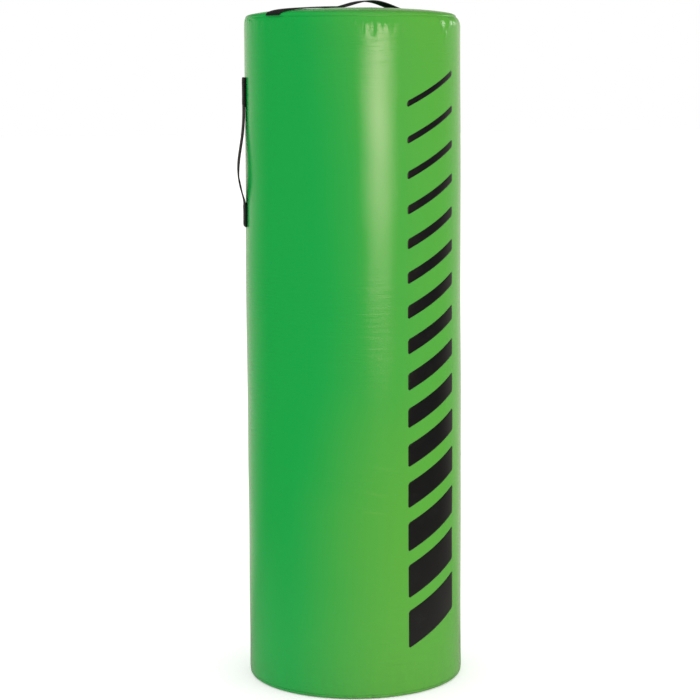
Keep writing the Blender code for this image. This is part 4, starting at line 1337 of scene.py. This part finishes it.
def turnedPiece(name, profile, material, nodeName, seed, slotName, closed):
    # profile is (radius, height) points, from the axis or round a closed section, uneven as cut foam is
    turns = np.linspace(0, 360, foamForm["columns"], endpoint=False)
    points, faces = [], []
    draw = np.random.default_rng(seed)
    phase = draw.uniform(0, 6.28, 6)
    for radius, height in profile:
        waves = np.cos(3 * np.radians(turns) + phase[0] + 9 * height)
        waves += np.cos(5 * np.radians(turns) + phase[1] - 14 * height)
        offset = -foamForm["uneven"] * (waves + 2) / 4 if radius > 0.01 else 0 * waves
        for turn, shift in zip(turns, offset):
            points.append(aroundPoint(turn, radius + shift, height))
    count, size = len(turns), len(profile)
    for row in range(size if closed else size - 1):
        joinRings(faces, row * count, turns, (row + 1) % size * count, turns)
    if not closed:
        faces.append(range(count - 1, -1, -1))
        faces.append(range((size - 1) * count, size * count))
    return ride(meshPiece(name, points, faces, material), slotName, nodeName)


def roundedSection(low, high, inner, outer):
    # a rectangle in (radius, height) with rounded outer corners
    section = [(inner, low)]
    bend, steps = foamForm["round"], foamForm["steps"]
    for centre, first in (((outer - bend, low + bend), -90), ((outer - bend, high - bend), 0)):
        section += [(centre[0] + bend * math.cos(math.radians(first + 90 * step / steps)),
                     centre[1] + bend * math.sin(math.radians(first + 90 * step / steps)))
                    for step in range(steps + 1)]
        if first == -90:
            section += [(outer, low + (high - low) * share) for share in np.linspace(0.05, 0.95, 19)]
    section.append((inner, high))
    return section


def makeFoam():
    bore = foamForm["bore"]
    low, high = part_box("foam_core")
    core = roundedSection(low.z, high.z, bore, high.x * 0.998)
    made = [turnedPiece("foamCore", core, denseFoam, "foam_core", 1, "dense_foam", False)]
    roundCore = high.x + 0.0012
    low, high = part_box("foam_sleeve")
    sleeve = roundedSection(low.z, high.z, roundCore, high.x - 0.0034)
    made.append(turnedPiece("foamSleeve", sleeve, softFoam, "foam_sleeve", 2, "soft_foam", True))
    low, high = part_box("top_foam_pad")
    radius = bag["topRadius"]
    inner = radius - 0.0205
    pad = [(bore, low.z)] + [(high.x - inside, low.z + above) for inside, above in foamForm["topRim"]]
    pad += [(inner, low.z + 0.028), (inner, crownHeight(inner / radius) - 0.0045)]
    pad += [(share * radius, crownHeight(share) - 0.0036) for share in foamForm["topShares"]]
    made.append(turnedPiece("topFoamPad", pad, softFoam, "top_foam_pad", 3, "soft_foam", False))
    low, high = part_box("base_foam_pad")
    inner = wallRadius(bag["footSeam"]) - bag["fin"] - 0.003
    pad = [(bore, low.z), (inner, low.z), (inner, low.z + 0.010), (high.x - 0.003, low.z + 0.0115),
           (high.x - 0.0005, low.z + 0.015), (high.x - 0.0005, high.z - 0.005), (high.x - 0.005, high.z),
           (bore, high.z)]
    made.append(turnedPiece("baseFoamPad", pad, denseFoam, "base_foam_pad", 4, "dense_foam", False))


makeFoam()
print("foam: four pieces")

# Pieces that show just as the bench model has them
cadFinishes = {
    zipBlack: ("zip_half_upper", "zip_half_lower"),
    enamel: ("zip_slider", "zip_pull_tab", "zip_top_stop_upper", "zip_top_stop_lower", "zip_bottom_stop"),
    tapeCloth: ("base_seam_binding", "top_seam_binding"),
    patchCloth: ("side_handle_patch_upper", "side_handle_patch_lower", "top_handle_patch_front",
                 "top_handle_patch_rear"),
}
for finish, nodeNames in cadFinishes.items():
    for nodeName in nodeNames:
        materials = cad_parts[nodeName].data.materials
        materials.clear()
        materials.append(finish)

# Stage, light and camera

studio = {
    "floor": (0.86, 0.86, 0.85),
    "floorSide": 30.0,
    "floorGlow": 0.30,
    "surround": 1.10,          # what lights the bag from all sides
    # what gloss sees: a warm white sweep behind the bag, a dark room in front of it, and a darker ceiling
    "darkSide": 0.06,
    "ceiling": 0.03,
    "sweepTurn": 82.0,
    "sweepEdge": (0.05, 1.34),
    "sweepTop": (0.05, 0.34),
    "sweepColour": (1.0, 0.96, 0.84),
    "floorNear": (0.42, 1.45),     # the lit floor close to the bag: how bright, and how far out
    # a window of soft panels that only gloss sees, and the lamp that lights the cloth
    "panels": [
        {"turn": 288.0, "distance": 2.60, "height": 1.240, "size": (1.02, 0.76), "power": 18.6,
         "colour": (1.0, 0.70, 0.72), "lights": "gloss"},
        {"turn": 288.0, "distance": 2.62, "height": 0.640, "size": (0.80, 0.46), "power": 1.5,
         "colour": (1.0, 0.66, 0.60), "lights": "gloss"},
        {"turn": 288.0, "distance": 2.70, "height": 1.120, "size": (1.45, 1.25), "power": 5.0,
         "colour": (1.0, 0.40, 0.05), "lights": "gloss"},
        {"turn": 26.0, "distance": 2.70, "height": 1.900, "size": (0.90, 0.56), "power": 6.0,
         "colour": (1.0, 0.98, 0.92), "lights": "gloss"},
        {"turn": 318.0, "distance": 3.40, "height": 1.600, "size": (1.80, 2.20), "power": 12.0,
         "colour": (1.0, 0.97, 0.90), "lights": "cloth"},
    ],
}


def sweepBehind(tree, way):
    # brightness of the sweep in a level direction from the bag
    return eased(tree, towards(tree, split(tree, way), studio["sweepTurn"]), *studio["sweepEdge"])


def glossRay(tree):
    rays = node(tree, "LightPath").outputs
    return sums(tree, "MAXIMUM", rays["Is Glossy Ray"], rays["Is Transmission Ray"])


def cameraRay(tree):
    return node(tree, "LightPath").outputs["Is Camera Ray"]


def blended(tree, share, first, second):
    return node(tree, "Mix", {0: share, 2: first, 3: second}, data_type="FLOAT").outputs[0]


def makeStage():
    mesh = bpy.data.meshes.new("floor")
    side = studio["floorSide"]
    corners = [(-side, -side, 0), (side, -side, 0), (side, side, 0), (-side, side, 0)]
    mesh.from_pydata(corners, [], [(0, 1, 2, 3)])
    floor = bpy.data.objects.new("floor", mesh)
    bpy.context.scene.collection.objects.link(floor)
    material = bpy.data.materials.new("floorPale")
    material.use_nodes = True
    tree = material.node_tree
    shader = tree.nodes["Principled BSDF"]
    floorColour = (*studio["floor"], 1)
    setInputs(tree, shader, {"Base Color": floorColour, "Roughness": 0.9, "Specular IOR Level": 0.1})
    glow = times(tree, cameraRay(tree), studio["floorGlow"])
    glow = node(tree, "Emission", {"Color": (1, 1, 1, 1), "Strength": glow})
    both = node(tree, "AddShader", {0: shader.outputs["BSDF"], 1: glow.outputs[0]})
    where = onPiece(tree)
    distance = node(tree, "VectorMath", {0: where}, operation="LENGTH").outputs["Value"]
    way = node(tree, "VectorMath", {0: where}, operation="NORMALIZE").outputs[0]
    bright, reach = studio["floorNear"]
    squared = sums(tree, "POWER", sums(tree, "DIVIDE", distance, reach), 2.0)
    close = times(tree, sums(tree, "EXPONENT", times(tree, squared, -1.0)), bright)
    far = sums(tree, "MAXIMUM", sweepBehind(tree, way), studio["darkSide"])
    mirrored = node(tree, "Emission", {"Color": (*studio["sweepColour"], 1),
                                       "Strength": sums(tree, "MAXIMUM", far, close)})
    seen = node(tree, "MixShader", {0: glossRay(tree), 1: both.outputs[0], 2: mirrored.outputs[0]})
    tree.links.new(seen.outputs[0], tree.nodes["Material Output"].inputs["Surface"])
    mesh.materials.append(material)


def makeWorld():
    world = bpy.data.worlds.new("studio")
    bpy.context.scene.world = world
    world.use_nodes = True
    tree = world.node_tree
    way = node(tree, "TexCoord").outputs["Generated"]
    low, high = studio["sweepTop"]
    below = eased(tree, split(tree, way)["Z"], high, low)
    walls = sums(tree, "MAXIMUM", sweepBehind(tree, way), studio["darkSide"])
    gloss = glossRay(tree)
    mirrored = blended(tree, gloss, studio["surround"], blended(tree, below, studio["ceiling"], walls))
    setInputs(tree, tree.nodes["Background"], {
        "Color": mixed(tree, gloss, (1, 1, 1), studio["sweepColour"]),
        "Strength": blended(tree, cameraRay(tree), mirrored, 1.0),
    })


def makeLamp(name, plan):
    lamp = bpy.data.lights.new(name, "AREA")
    lamp.shape = "RECTANGLE"
    lamp.size, lamp.size_y = plan["size"]
    lamp.energy = plan["power"]
    lamp.color = plan["colour"]
    holder = bpy.data.objects.new(name, lamp)
    holder.location = aroundPoint(plan["turn"], plan["distance"], plan["height"])
    aim = Vector((0, 0, plan["height"] - 0.15)) - holder.location
    holder.rotation_euler = aim.to_track_quat("-Z", "Y").to_euler()
    holder.visible_diffuse = plan["lights"] == "cloth"
    holder.visible_glossy = plan["lights"] == "gloss"
    bpy.context.scene.collection.objects.link(holder)


eye = {
    "azimuth": -8.6,
    "distance": 4.342,
    "height": 1.3096,
    "down": 8.0907,
    "left": 0.1084,
    "tilt": 0.338,
    "lens": 106.85,
    "sensor": 36.0,
}


def makeCamera():
    camera = bpy.data.cameras.new("camera")
    camera.lens = eye["lens"]
    camera.sensor_width = eye["sensor"]
    holder = bpy.data.objects.new("camera", camera)
    azimuth = math.radians(eye["azimuth"])
    away = Vector((math.sin(azimuth), -math.cos(azimuth), 0))
    holder.location = away * eye["distance"] + Vector((0, 0, eye["height"]))
    flat = Matrix.Rotation(math.radians(eye["left"]), 3, "Z") @ -away
    down = math.radians(eye["down"])
    forward = flat * math.cos(down) - Vector((0, 0, math.sin(down)))
    right = forward.cross(Vector((0, 0, 1))).normalized()
    up = right.cross(forward)
    tilt = math.radians(eye["tilt"])
    turnedUp = up * math.cos(tilt) + right * math.sin(tilt)
    turnedRight = right * math.cos(tilt) - up * math.sin(tilt)
    holder.rotation_mode = "QUATERNION"
    holder.rotation_quaternion = Matrix((turnedRight, turnedUp, -forward)).transposed().to_quaternion()
    camera.clip_start, camera.clip_end = 0.05, 200
    bpy.context.scene.collection.objects.link(holder)
    bpy.context.scene.camera = holder


makeStage()
makeWorld()
for number, panel in enumerate(studio["panels"], 1):
    makeLamp("panel" + str(number), panel)
makeCamera()
bpy.context.scene.view_settings.view_transform = "Standard"
print("stage, light and camera: done")

bpy.context.view_layer.update()
